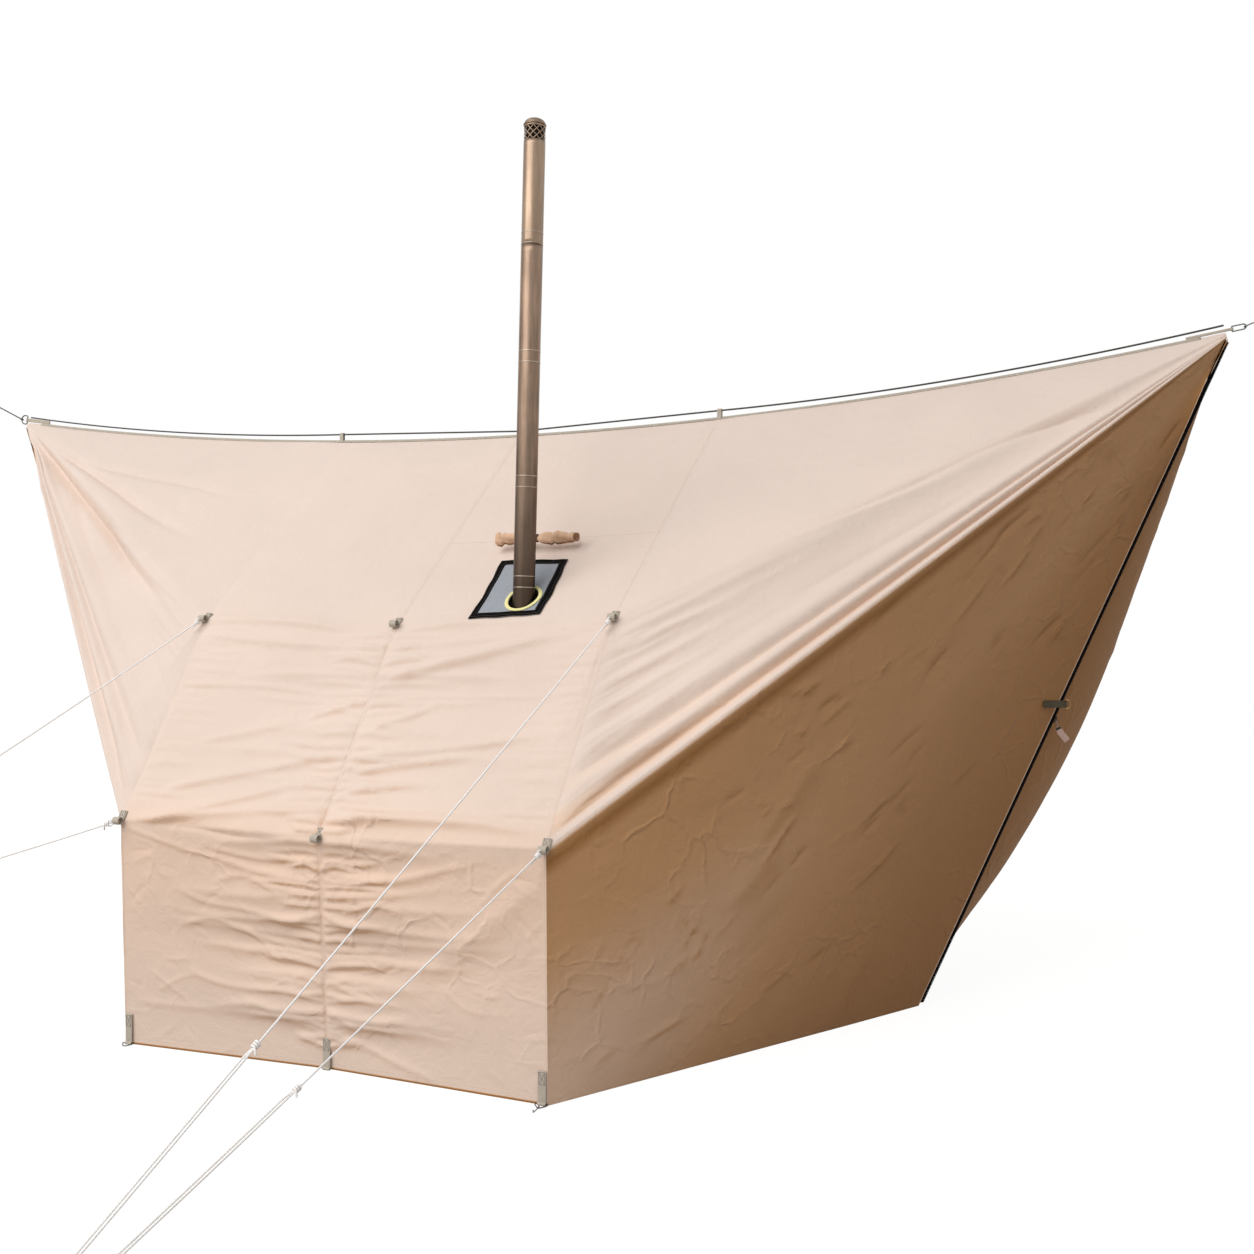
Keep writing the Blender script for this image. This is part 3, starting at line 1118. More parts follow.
# the normal both cloths share on their seam, faded in over the last 12 mm
def seamBlend(normals, seamNormal, edge):
    weight = near(edge, canopy["seamTurn"])[..., None]
    return unit(normals * (1 - weight) + seamNormal[:, None, :] * weight)


def apart(points, others):
    return np.linalg.norm(points - others, axis=-1)


def seamRise(distance):
    return canopy["seamBand"] * near(distance, canopy["seamHalf"], 6)


def hemRise(distance):
    return canopy["hemBand"] * near(distance, canopy["hemReach"], 8)


def rowTone(kind, rows, columns):
    return np.interp(rows, *canopy["toneRows"][kind])[:, None] + 0 * columns


# a front right panel before its folds: rows, drop below the ridge along the cloth, grid, upright, tone, texture places
# and the distances to its edges
def panelPlan(share):
    rows = panelRowValues(share)
    columns = np.linspace(0, 1, int(canopy["panelColumns"] * share))
    grid, up = panelSurface(rows, columns)
    drop = np.interp(rows, range(4), canopy["drops"])
    toHem = np.abs(canopy["drops"][-1] - drop)[:, None] + 0 * columns
    tone = np.where(toHem < canopy["hemEdge"], 1.0, rowTone("panel", rows, columns))
    edges = {"middle": grid[..., 0], "outer": apart(grid, grid[:, -1:]), "hem": toHem}
    return rows, drop, grid, up, tone, together(grid[..., 0], drop[:, None]), edges


# the same for a front right wing, whose tone is paler where light comes through the door's lower part
def wingPlan(share, corner):
    rows = np.sort(np.append(rowValues(canopy["wingRowParts"], share), canopy["zipRows"]))
    start = canopy["apexStart"]
    rays = start + (1 - start) * np.linspace(0, 1, int(canopy["wingRays"] * share)) ** 1.1
    glow = canopy["glow"]
    lit = near(rows - glow["row"], glow["rows"])[:, None] * np.clip((rays - glow["from"]) / glow["fade"], 0, 1)
    tone = rowTone("wing", rows, rays) - glow["depth"] * lit * (rows > glow["below"])[:, None]
    grid, up = wingSurface(rows, rays, canopy["bulges"][corner])
    toLast, belowWall = apart(grid, grid[:, -1:]), (rows > 3)[:, None]
    edges = {"seam": np.where(belowWall, 1.0, toLast), "hem": np.where(belowWall, toLast, 1.0)}
    edges["zip"] = apart(grid, grid[-1:]) - canopy["zipStill"]
    return rows, rays, grid, up, tone, together(rows[:, None] * 0.6, rays[None, :] * 1.6), edges


# a cloth with its folds, its normals and the deeper tone of its folds' shaded sides, where light comes off the cloth
# beside them
def foldCloth(name, kind, grid, up, rows, edges, towards):
    smooth = gridNormals(grid, up)
    grid = grid + clothFolds(name, kind, grid, rows, edges)[..., None] * up
    normals = gridNormals(grid, up)
    return grid, normals, canopy["warmFold"] * np.clip((smooth - normals) @ towards, 0, 0.4)


def addCloth():
    stitchRows = []
    for prefix, ySign, share in (("front", 1.0, 1.0), ("rear", -1.0, canopy["farShare"])):
        towards = unit(np.array(studio["keyAt"]) * (1, ySign, 1))
        rows, drop, panel, panelUp, tone, places, edges = panelPlan(share)
        panelStill = np.minimum(np.minimum(edges["middle"] * 2.0, edges["outer"]), edges["hem"])
        for end, xSign in (("left", -1.0), ("right", 1.0)):
            sign = np.array([xSign, ySign, 1.0])
            jacked = (prefix, end) == ("front", "right")
            names = [f"{prefix}_{kind}_{end}" for kind in ("panel", "wing")]
            wingRows, rays, wing, wingUp, wingTone, wingPlaces, wingEdges = wingPlan(share, f"{prefix}_{end}")
            wingStill = np.clip(np.minimum(np.minimum(wingEdges["seam"], wingEdges["zip"]), wingEdges["hem"]), 0, 1)
            up, wingUp = panelUp * sign, wingUp * sign
            grid, normals, warm = foldCloth(names[0], "panel", panel * sign, up, rows, panelStill, towards)
            wing, wingNormals, wingWarm = foldCloth(names[1], "wing", wing * sign, wingUp, wingRows, wingStill, towards)
            reach, edgeTone = canopy["paleEdge"]
            paleEdge = near(apart(wing, wing[-1:]), reach, 4) * (rays > 0.04)
            leftRoof = (wingRows < 2)[:, None] & (end == "left")
            wingTone = wingTone * np.where(leftRoof, canopy["leftRoofTone"], 1.0) + wingWarm
            wingTone = np.clip(wingTone * (1 - paleEdge) + edgeTone * paleEdge, 0, 1)

            seamNormal = unit(normals[:, -1] + readAt(rows, wingRows, wingNormals[:, -1]))
            middleNormal = unit(normals[:, 0] * np.array([0.0, 1.0, 1.0]))
            normals = seamBlend(seamBlend(normals, seamNormal, edges["outer"]), middleNormal, edges["middle"])
            wingNormals = seamBlend(wingNormals, readAt(np.clip(wingRows, 0, 3), rows, seamNormal), wingEdges["seam"])
            # the photograph shows no raised seam on the roof's left side
            outerSeam = np.clip((rows - 2) * 8, 0, 1) if (prefix, end) == ("front", "left") else np.ones(len(rows))
            wingSeam = np.interp(wingRows, rows, outerSeam)
            rise = seamRise(edges["middle"]) + outerSeam[:, None] * seamRise(edges["outer"]) + hemRise(edges["hem"])
            if jacked:
                rise = rise + seamRise((rows[:, None] - canopy["backSeam"]) * canopy["drops"][1])
            wingRise = wingSeam[:, None] * seamRise(wingEdges["seam"]) + hemRise(wingEdges["hem"])
            skin = grid + normals * (canopy["outerSkin"] + rise)[..., None]
            wingSkin = wing + wingNormals * (canopy["outerSkin"] + wingRise)[..., None]
            for made in (skin, wingSkin):
                made[..., 2] = np.maximum(made[..., 2], canopy["lowest"])
            sheets = canopy["sheets"]
            addClothPiece(names[0], skin, up, np.clip(tone + warm, 0, 1), places, *sheets["panel"], jacked)
            addClothPiece(names[1], wingSkin, wingUp, wingTone, wingPlaces, *sheets["wing"])

            # rows of stitches: both long seams, the lap seam behind the jack, the hems and the wing's side of its seam
            inwards = canopy["stitchIn"]
            lower = rows > 0.02
            sewn = [(lower, 1), (lower & (outerSeam > 0.5), -2)]
            if jacked:
                sewn.append((nearest(rows, canopy["backSeam"]), slice(2, -2)))
            sewn.append((nearest(drop, canopy["drops"][-1] - inwards["hem"]), slice(2, -2)))
            stitchRows += [(skin[where], normals[where]) for where in sewn]
            across = wing[nearest(wingRows, 3.4)]
            hemRay = nearest(apart(across, across[-1]), inwards["hem"])
            seamRay = nearest(wingEdges["seam"][nearest(wingRows, 1.0)], inwards["seam"])
            onSeam = (wingRows > (0.05 if wingSeam[5] > 0.5 else 2.05)) & (wingRows < 2.98)
            for where in ((wingRows > 3.02, hemRay), (onSeam, seamRay)):
                stitchRows.append((wingSkin[where], wingNormals[where]))
    addStitches("cloth_stitches", stitchRows, "canopy", sandThread)


addCloth()
print("cloth hung")


# Webbing loops and straps

straps = {
    "thickness": 0.0016,
    "width": 0.020,
    "stitchPitch": 0.0035,
    "boxHalf": 0.007,
    "kinds": {
        "tieout": {
            "tail": 0.0316,
            "eye": 0.0080,
            "box": (-0.0296, -0.011),
            "frames": {
                "mid_middle": ((0, -.77451, -.63256), (0, -.63256, .77451), (-1, 0, 0), (0, -.72845, 1.0404)),
                "mid_right": ((0, -.77451, -.63256), (0, -.63256, .77451), (-1, 0, 0), (.602, -.72896, 1.05502)),
                "eave_middle": ((0, -.56498, -.8251), (0, -.8251, .56498), (-1, 0, 0), (0, -1.06858, .54424)),
                "eave_right": ((0, -.56498, -.8251), (0, -.8251, .56498), (-1, 0, 0), (.58, -1.0682, .55398)),
            },
        },
        "hem_strap": {
            "tail": 0.072,
            "eye": 0.0021,
            "box": (-0.069, -0.042),
            "frames": {
                "middle": ((0, 0, -1), (0, -1, 0), (-1, 0, 0), (0, -1.02868, .004)),
                "right": ((0, 0, -1), (0, -1, 0), (-1, 0, 0), (.566, -1.05009, .004)),
            },
        },
    },
    "doors": {
        "left": ((-.64805, .75955, -.05587), (-.76074, -.64906, 0), (-.03626, .0425, .99844),
                 (-1.59707, -.00205, .83507)),
        "right": ((.58341, .81178, -.02539), (.81204, -.5836, 0), (-.01482, -.02062, -.99968),
                  (1.59628, -.00089, .8356)),
    },
    "doorTail": 0.085,
    "doorEye": 0.0020,
    "doorWidth": 0.019,
    "doorBox": (-0.082, -0.055),
    "doorBoxHalf": 0.0065,
}


# a strap folded back on itself round an eye: out along the cloth, once round and back over the first layer
def loopPath(tail, eye, thickness):
    half = thickness / 2
    middle = eye + half
    a = np.linspace(-math.pi / 2, math.pi + math.asin((eye - half) / middle), 40)
    bow = together(middle * np.cos(a), eye + thickness + middle * np.sin(a))
    out = together(np.linspace(-tail, -0.0006, 14), half)
    back = together(np.linspace(bow[-1, 0] - 0.001, -tail, 14), 1.5 * thickness)
    return np.vstack([out, bow, back])


# a box with a cross in it, sewn on the strap's upper layer
def boxStitches(frame, box, half):
    (low, high), height = box, 2 * straps["thickness"]
    corners = [(low, -half), (high, -half), (high, half), (low, half), (low, -half), (high, half)]
    routes = [[(u, height, v) for u, v in route] for route in (corners, [(high, -half), (low, half)])]
    return [(placed(frame, route), np.array(frame[1]), straps["stitchPitch"]) for route in routes]


# a strap at the middle has a twin on the far side, and one at the side has three
def addStraps():
    thick, rows = straps["thickness"], []
    for kind, shape in straps["kinds"].items():
        for place, frame in shape["frames"].items():
            path = placed(frame, loopPath(shape["tail"], shape["eye"], thick))
            for ySign in (1, -1):
                for xSign in (1,) if place.endswith("middle") else (1, -1):
                    node = f"{kind}_{place if xSign > 0 else place.replace('right', 'left')}"
                    node = node if ySign > 0 else "rear_" + node
                    route = mirrored(path, xSign, ySign)
                    piece = band(node + "_webbing", route, (1, 0, 0), straps["width"], thick, oliveWebbing)
                    onNode(piece, node, "canopy")
                    for line, normal, pitch in boxStitches(frame, shape["box"], straps["boxHalf"]):
                        rows.append((mirrored(line, xSign, ySign), mirrored(normal, xSign, ySign), pitch))
    for end, frame in straps["doors"].items():
        path = placed(frame, loopPath(straps["doorTail"], straps["doorEye"], thick))
        piece = band(f"door_strap_{end}_webbing", path, frame[2], straps["doorWidth"], thick, darkWebbing)
        onNode(piece, f"door_strap_{end}", "canopy")
        rows += boxStitches(frame, straps["doorBox"], straps["doorBoxHalf"])
    addStitches("strap_stitches", rows, "canopy", darkThread)


addStraps()
print("straps sewn")


# Ridge webbing, its loops and the cord above it

ridge = {
    "pitch": 0.681,
    "tape": 0.0016,
    "tapeHalf": 0.010,
    "tapeShort": 0.075,
    "cloth": 0.0025,
    "fit": 0.0003,
    "ends": {
        "left": ((-.9887, 0, .14988), (0, -1, 0), (.14988, 0, .9887), (-1.997, 0, 1.79591)),
        "right": ((.9887, 0, .14988), (0, 1, 0), (-.14988, 0, .9887), (1.997, 0, 1.79291)),
    },
    "endTail": 0.10822,
    "endWidth": {"left": 0.013, "right": 0.0070},
    "endEye": {"left": 0.0028, "right": 0.0023},
    "loopWidth": 0.014,
    "cordRadius": 0.0025,
    "cordShort": 0.022,
    "cordNodes": ([0.0, 0.645, 2.0], [0.0155, 0.024, 0.0225]),
    "cordSag": 0.024,
    "loopRoom": 0.0015,
    "foldRadius": 0.0012,
    "stitchIn": 0.0025,
}


def ridgeTop(x):
    return ridgeHeight(x) + (ridge["cloth"] + ridge["tape"] + ridge["fit"]) / math.cos(ridge["pitch"])


def cordHeight(x):
    x, seamX = np.abs(x), canopy["ridgeSeamX"]
    bases = [ridgeHeight(0.0), ridgeHeight(seamX), canopy["apexHeight"]]
    share = np.clip((x - seamX) / (canopy["halfRidge"] - seamX), 0, 1)
    at, above = ridge["cordNodes"]
    return np.interp(x, at, np.array(bases) + above) - ridge["cordSag"] * 4 * share * (1 - share)


# how far the tape falls beside the ridge, its fold a little rounded
def tapeFall(y):
    return (np.hypot(y, ridge["foldRadius"]) - ridge["foldRadius"]) * math.tan(ridge["pitch"])


# the tape's section is a low roof carried along the ridge
def addRidgeTape():
    x = np.linspace(-1, 1, 400) * (canopy["halfRidge"] - ridge["tapeShort"])
    w = np.sin(np.linspace(-1, 1, 13) * math.pi / 2)
    y = w * ridge["tapeHalf"]
    fall, half = tapeFall(y), ridge["tape"] / math.cos(ridge["pitch"]) / 2
    edge = np.sqrt(1 - np.abs(w * 0.99) ** 6)
    sectionY = np.concatenate([y, y[::-1]])
    sectionZ = np.concatenate([-fall - half * (1 - edge), -fall[::-1] - half * (1 + edge[::-1])])
    rings = together(x[:, None], sectionY[None, :], ridgeTop(x)[:, None] + sectionZ[None, :])
    tape = sweep("ridge_webbing_tape", rings, oliveWebbing, np.append(sectionY, sectionY[0]), x)
    onNode(tape, "ridge_webbing", "canopy")


# end straps folded round their bars, and hanging loops folded round the cord
def addRidgeLoops():
    thick = straps["thickness"]
    half = thick / 2
    for end, frame in ridge["ends"].items():
        eye = ridge["endEye"][end] + half
        turn = math.pi - math.asin(half / eye)
        a = np.linspace(-turn, turn, 30)
        tail = np.linspace(-ridge["endTail"], -eye * 1.2, 20)
        path = np.vstack([together(tail, -half), eye * together(np.cos(a), np.sin(a)), together(tail[::-1], half)])
        piece = band(f"ridge_end_{end}", placed(frame, path), frame[2], ridge["endWidth"][end], thick, oliveWebbing)
        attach(piece, "canopy")
    inner = ridge["cordRadius"] + ridge["loopRoom"] + half
    a = np.linspace(0, math.pi, 24)[1:-1]
    for k, x0 in enumerate((-canopy["ridgeSeamX"], 0.0, canopy["ridgeSeamX"])):
        base, cord = float(ridgeTop(x0)) - 0.0008, float(cordHeight(x0))
        bow = together(x0, inner * np.cos(a), cord + inner * np.sin(a))
        foot = np.array([[x0, 0.0095, base - 0.0066], [x0, 0.0060, base - 0.0020], [x0, inner, base + 0.004]])
        path = smoothPath(np.vstack([foot, bow, mirrored(foot[::-1], 1, -1)]), 3)
        piece = band(f"ridge_loop_{k}", path, (1, 0, 0), ridge["loopWidth"], thick, oliveWebbing)
        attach(piece, "canopy")


def addRidgeCord():
    x = np.linspace(-1, 1, 260) * (canopy["halfRidge"] - ridge["cordShort"])
    cord = tube("ridge_cord_braid", together(x, 0, cordHeight(x)), ridge["cordRadius"], darkBraid, sides=14)
    onNode(cord, "ridge_cord", "canopy")


def addRidgeStitches():
    x = np.linspace(-1, 1, 200) * (canopy["halfRidge"] - ridge["tapeShort"] - 0.003)
    rows = []
    for side in (-1, 1):
        y = side * (ridge["tapeHalf"] - ridge["stitchIn"])
        normal = np.array([0.0, side * math.sin(ridge["pitch"]), math.cos(ridge["pitch"])])
        rows.append((together(x, y, ridgeTop(x) - tapeFall(y)), normal))
    addStitches("ridge_stitches", rows, "canopy", darkThread)


def addRidge():
    addRidgeTape()
    addRidgeLoops()
    addRidgeCord()
    addRidgeStitches()


addRidge()
print("ridge sewn")


# Zips

zips = {
    "width": 0.018,
    "thickness": 0.0016,
    "lift": 0.008,
    "apart": 0.00015,
    "toothPitch": 0.0034,
    "toothSize": (0.0024, 0.0021, 0.0013),
    "toothLift": 0.0010,
    "toothLevels": [(-1.0, 0.75), (-0.3, 1.0), (0.45, 1.0), (1.0, 0.6)],
}


# each tape follows the zip line and parts below the apex; its coil is one long row of small rounded teeth along the
# meeting edge
def addZips():
    foot, apex, away = np.array(canopy["side"][3]), ridgeEnd(), zipAway()
    outwards = unit(np.cross(apex - foot, (0, 1, 0)))
    outwards = outwards * np.sign(outwards[0])
    split = canopy["zipPartsFrom"]
    share = np.concatenate([np.linspace(zips["lift"] / apex[2], split - 0.01, 60),
                            np.linspace(split, 1 - canopy["apexStart"] * 1.2, 60)])
    line = foot + share[:, None] * (apex - foot)
    line[:, 1] -= zips["apart"] + zipParting(share)
    for end, xSign in (("left", -1.0), ("right", 1.0)):
        for prefix, ySign in (("front", 1.0), ("rear", -1.0)):
            path, across = (mirrored(v, xSign, ySign) for v in (line + away * zips["width"] / 2, away))
            node = f"zip_tape_{prefix}_{end}"
            piece = band(node + "_tape", path, across, zips["width"], zips["thickness"], zipWebbing)
            onNode(piece, node, "canopy")
        addTeeth(f"zip_teeth_{end}", line, unit(apex - foot), outwards, xSign)


# a tooth is a rounded block: its eight corners, widened at half height by eight more; both tapes' teeth take turns
def addTeeth(name, line, along, outwards, xSign):
    run, pitch = runLength(line), zips["toothPitch"]
    length, reach, height = (s / 2 for s in zips["toothSize"])
    parts = []
    for ySign, phase in ((1.0, 0.5), (-1.0, 1.0)):
        centre = readAt(np.arange(pitch * phase, run[-1], pitch), run, line) + outwards * zips["toothLift"]
        for h, size in zips["toothLevels"]:
            for u, v in ((-1, -1), (1, -1), (1, 1), (-1, 1)):
                corner = along * u * length * size + outwards * h * height + np.array([0.0, v * reach * size, 0.0])
                parts.append(mirrored(centre, 1.0, ySign) + corner)
    teeth = [np.stack(parts[k:k + 16], axis=1) for k in (0, 16)]
    k = np.arange(4)
    quads = [(0, 3, 2, 1), (12, 13, 14, 15)]
    for level in (0, 4, 8):
        quads += together(level + k, level + (k + 1) % 4, level + 4 + (k + 1) % 4, level + 4 + k).tolist()
    made = manyParts(name, mirrored(np.vstack(teeth), xSign, 1.0), quads, [], blackNylon)
    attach(made, "canopy")


addZips()
print("zips closed")


# Stove jack: patch, bound edge, sewn ring and the rolled flap

jack = {
    "frame": ((0, -.77514, -.63179), (-1, 0, 0), (0, -.63179, .77514), (.3, -.61964, 1.13892)),
    "half": (0.1175, 0.095),
    "patch": 0.0016,
    "fit": 0.0003,
    "bindingWidth": 0.018,
    "skew": 0.008,
    "bow": 0.0055,
    "ripple": 0.0011,
    "binding": 0.0022,
    "ring": 0.0022,
    "ringWidth": 0.0095,
    "hole": (0.0440, 0.0375),
    "flapFrame": ((0, -.77515, -.63178), (0, -.63178, .77515), (-1, 0, 0), (.293, -.49209, 1.26193)),
    "flapRadius": 0.0158,
    "flapLength": 0.236,
    "flapDepth": 0.155,
    "flapWaist": 0.0097,
    "flapTurns": 3.4,
    "flapTone": 0.64,
    "flapCloth": 0.0008,
    "flapCreases": 34,
    "creaseLimits": ((-0.5, 0.5), (0.012, 0.035), (-0.16, 0.16), (0, 2 * math.pi)),
    "tieWidth": 0.010,
    "tieThickness": 0.0012,
    "ringRaised": 0.0009,
    "ribs": 84,
    "stitchInsets": (0.003, 0.0145),
    "stitchPitch": 0.005,
}


# the edge of a rectangle or an ellipse as seen from the hole's centre in each direction
def edgeOf(kind, size, hole, turn):
    direction = np.stack([np.cos(turn), np.sin(turn)], axis=-1)
    if kind == "ellipse":
        return np.asarray(hole) + direction * np.asarray(size)
    low, high = -np.asarray(size) - hole, np.asarray(size) - hole
    level = np.abs(direction) < 1e-9
    reach = np.where(level, 1e9, np.where(direction > 0, high, low) / np.where(level, 1.0, direction))
    return np.asarray(hole) + direction * reach.min(axis=1)[:, None]


# the patch as it is sewn: out of square along its lower edge, its sides bowed and rippled as far out as they lie
def sewnAskew(flat):
    share = flat / np.array(jack["half"])
    down, left = share[..., 0], share[..., 1]
    atEdge = np.clip(np.abs(share).max(axis=-1), 0, 1) ** 4
    lower = jack["skew"] * (down + 1) / 2 * left + jack["ripple"] * atEdge * np.sin(8 * left)
    bowed = jack["bow"] * (1 - np.clip(down, -1, 1) ** 2) * (1 + 0.6 * down)
    return flat + together(lower, atEdge * (jack["ripple"] * np.sin(9 * down + 2) - bowed))


# flat places on the patch and their height above it, in the scene
def onPatch(flat, height):
    return placed(jack["frame"], together(flat[..., 0], flat[..., 1], height))


# a flat frame between an inner and an outer edge, with its upper side as the profile gives it; closed both ways round
def flatFrame(name, inner, outer, profile, thickness, level, look, waviness=1.0):
    s = np.array([place for place, _ in profile + profile[::-1]])
    height = np.array([rise for _, rise in profile] + [0.0] * len(profile)) * thickness
    flat = sewnAskew(inner[:, None] * (1 - s)[None, :, None] + outer[:, None] * s[None, :, None])
    points = onPatch(flat, height[None, :] * np.reshape(waviness, (-1, 1)) + level)
    faces = gridFaces(*points.shape[:2], wrapRows=True, wrapColumns=True)
    return outward(meshFrom(name, points.reshape(-1, 3), faces, [], look, flat.reshape(-1, 2)[faces.ravel()]))


# patch, binding and ring are frames round one hole, whose place is read from the ring's box in the frame
def addJack():
    middle = np.mean(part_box("jack_ring"), axis=0)
    x, z, up, centre = (np.array(v) for v in jack["frame"])
    hole = np.array([(middle - centre) @ x, (middle - centre) @ z])
    half, bore = np.array(jack["half"]), np.array(jack["hole"])
    corners = [math.atan2(v * half[1] - hole[1], u * half[0] - hole[0]) for u in (-1, 1) for v in (-1, 1)]
    turn = np.sort(np.concatenate([np.linspace(-math.pi, math.pi, 180, endpoint=False), corners]))
    even = np.linspace(-math.pi, math.pi, 420, endpoint=False)
    inner, outer = edgeOf("ellipse", bore, hole, turn), edgeOf("plate", half, hole, turn)
    level = jack["patch"] + jack["fit"]
    flush = [(0.0, 0.6), (0.01, 1.0)] + [(s, 1.0) for s in np.linspace(0.1, 0.9, 9)] + [(0.99, 1.0), (1.0, 0.6)]
    domed = [(s, math.sqrt(max(0.0, 1 - (2 * s - 1) ** 6)) * 0.98 + 0.02) for s in np.linspace(0, 1, 11)]
    patch = flatFrame("jack_patch_cloth", inner, outer, flush, jack["patch"], 0.0, heatCloth)
    onNode(patch, "jack_patch", "canopy")
    edges = [edgeOf("plate", half + wider, hole, turn) for wider in (-jack["bindingWidth"], 0.001)]
    binding = flatFrame("jack_binding_tape", *edges, domed, jack["binding"], level, bindingTape)
    onNode(binding, "jack_binding", "canopy")
    edges = [edgeOf("ellipse", bore + wider, hole, even) for wider in (0, jack["ringWidth"])]
    ribbed = 0.88 + 0.12 * np.cos(even * jack["ribs"])
    ring = flatFrame("jack_ring_sewn", *edges, domed, jack["ring"], level + jack["ringRaised"], yellowThread, ribbed)
    onNode(ring, "jack_ring", "canopy")
    rows = []
    for inset in jack["stitchInsets"]:
        square = (half - inset) * np.array([(-1, -1), (1, -1), (1, 1), (-1, 1), (-1, -1)])
        square = sewnAskew(readAt(np.linspace(0, 4, 97), range(5), square))
        rows.append((onPatch(square, level + jack["binding"]), up, jack["stitchPitch"]))
    addStitches("jack_stitches", rows, "canopy", greyThread)


# the flap is one cloth wound into a roll: a spiral across the roof, drawn in at the tie and flared at its right end
def addFlap():
    radius, waist, frameOfFlap = jack["flapRadius"], jack["flapWaist"], jack["flapFrame"]
    along = np.linspace(-0.5, 0.5, 90)[:, None]
    s = np.linspace(0, 1, 200)[None, :]
    angle = s * jack["flapTurns"] * 2 * math.pi + math.pi * 0.9
    drawn = 1 - (1 - waist / radius) * near(along, 0.075)
    flare = 1.0 - 0.05 * np.cos(along * 2 * math.pi) + 0.10 * np.clip(-along * 2 - 0.5, 0, 1)
    seeds = np.random.default_rng(31)
    creases = 0
    for _ in range(jack["flapCreases"]):
        place, width, size, phase = (seeds.uniform(*limits) for limits in jack["creaseLimits"])
        creases = creases + size * near(along - place - 0.02 * np.sin(angle + phase), width)
    spiral = (0.20 + 0.80 * s ** 0.95) * radius * drawn * flare * (1 + creases * 1.2) * 0.92
    oval = 1 + 0.30 * np.cos(2 * (angle - 5.0 * along))
    deep = np.where(along < 0, 0.16, 0.05) * (1 - s) * (2 * np.abs(along)) ** 6
    axis = along * jack["flapLength"] * (1 - deep)
    local = together(spiral * oval * np.cos(angle), spiral * oval * np.sin(angle) * 0.9 + radius, axis)
    faces = gridFaces(*local.shape[:2])
    points, places = placed(frameOfFlap, local.reshape(-1, 3)), together(axis, s * 0.17).reshape(-1, 2)
    made = meshFrom("rain_flap_cloth", points, faces, [], canvas, places[faces.ravel()])
    thicken(made, np.full(len(points), jack["flapTone"]), jack["flapCloth"])
    onNode(made, "rain_flap", "canopy")
    a, reach = np.linspace(0, 2 * math.pi, 48), waist + 0.0009
    around = placed(frameOfFlap, together(reach * np.cos(a), radius + reach * np.sin(a), 0))
    tie = band("rain_flap_tie", around, frameOfFlap[2], jack["tieWidth"], jack["tieThickness"], darkWebbing)
    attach(tie, "canopy")


addJack()
addFlap()
print("jack sewn")


# Stove pipe, arrestor and cap

pipe = {
    "through": (.329, -.65267, 1.11201),
    "axis": (.026177, 0, .999657),
    "radius": 0.0275,
    "wall": 0.0014,
    "bottom": 0.800,
    "top": 2.300,
    "ribs": (1.153, 1.405, 1.719, 2.016),
    "ribSpacing": 0.028,
    "ribWidth": 0.0022,
    "ribRise": 0.0007,
    "sleeveLength": 0.300,
    "sleeveWall": 0.0010,
    "lattice": 0.034,
    "rim": 0.005,
    "fit": 0.0003,
    "strands": 10,
    "strandRadius": 0.0011,
    "seamTurn": -2.35,
    "seamWidth": 0.010,
    "seamThickness": 0.0008,
    "capRise": 0.019,
    "capLip": 0.0015,
    "sides": 96,
}


# directions round the pipe's axis, turned from its front
def aroundPipe(turn):
    side = np.array([0.0, 1.0, 0.0])
    return circle(turn, np.cross(side, pipe["axis"]), side)


# a profile of radius and height turned round the pipe's axis; the profile is closed, so the shell is too
def turned(name, profile, look, wobble=0.0):
    profile = np.asarray(profile, dtype=float)
    turn = np.linspace(0, 2 * math.pi, pipe["sides"], endpoint=False)
    height = profile[:, 1][None, :]
    radius = profile[:, 0][None, :] * (1 + wobble * np.sin(3 * turn)[:, None] * np.sin(height * 9))
    points = radius[..., None] * aroundPipe(turn)[:, None, :] + height[..., None] * pipe["axis"] + pipe["through"]
    faces = gridFaces(*radius.shape, wrapRows=True, wrapColumns=True)
    places = together((turn / (2 * math.pi))[:, None], height).reshape(-1, 2)[faces.ravel()]
    return outward(meshFrom(name, points.reshape(-1, 3), faces, [], look, places))


def pipeHeight(z):
    return (z - pipe["through"][2]) / pipe["axis"][2]


# the rolled pipe, a little out of round, with its overlap and the neck that the sleeve's foot is drawn over
def addRolledPipe(bottom, foot, crown):
    radius, fit = pipe["radius"], pipe["fit"]
    inner, neck = radius - pipe["wall"], radius - pipe["sleeveWall"] - fit
    neckTop = crown - pipe["lattice"] - 0.010
    shell = [(radius, z) for z in np.linspace(foot - fit, bottom, 60)] + [(inner, bottom)]
    shell += [(inner, z) for z in np.linspace(bottom + 0.01, neckTop, 12)] + [(neck, neckTop), (neck, foot - fit)]
    onNode(turned("stove_pipe_rolled", shell, pipeFoil, wobble=0.004), "stove_pipe", "pipe")
    addBands()
    direction = aroundPipe(np.array([pipe["seamTurn"]]))[0]
    along = np.linspace(bottom + 0.001, foot - 0.002, 90)
    path = np.array(pipe["through"]) + direction * radius + along[:, None] * np.array(pipe["axis"])
    across = np.cross(direction, pipe["axis"])
    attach(band("pipe_overlap", path, across, pipe["seamWidth"], pipe["seamThickness"], pipeFoil), "pipe")


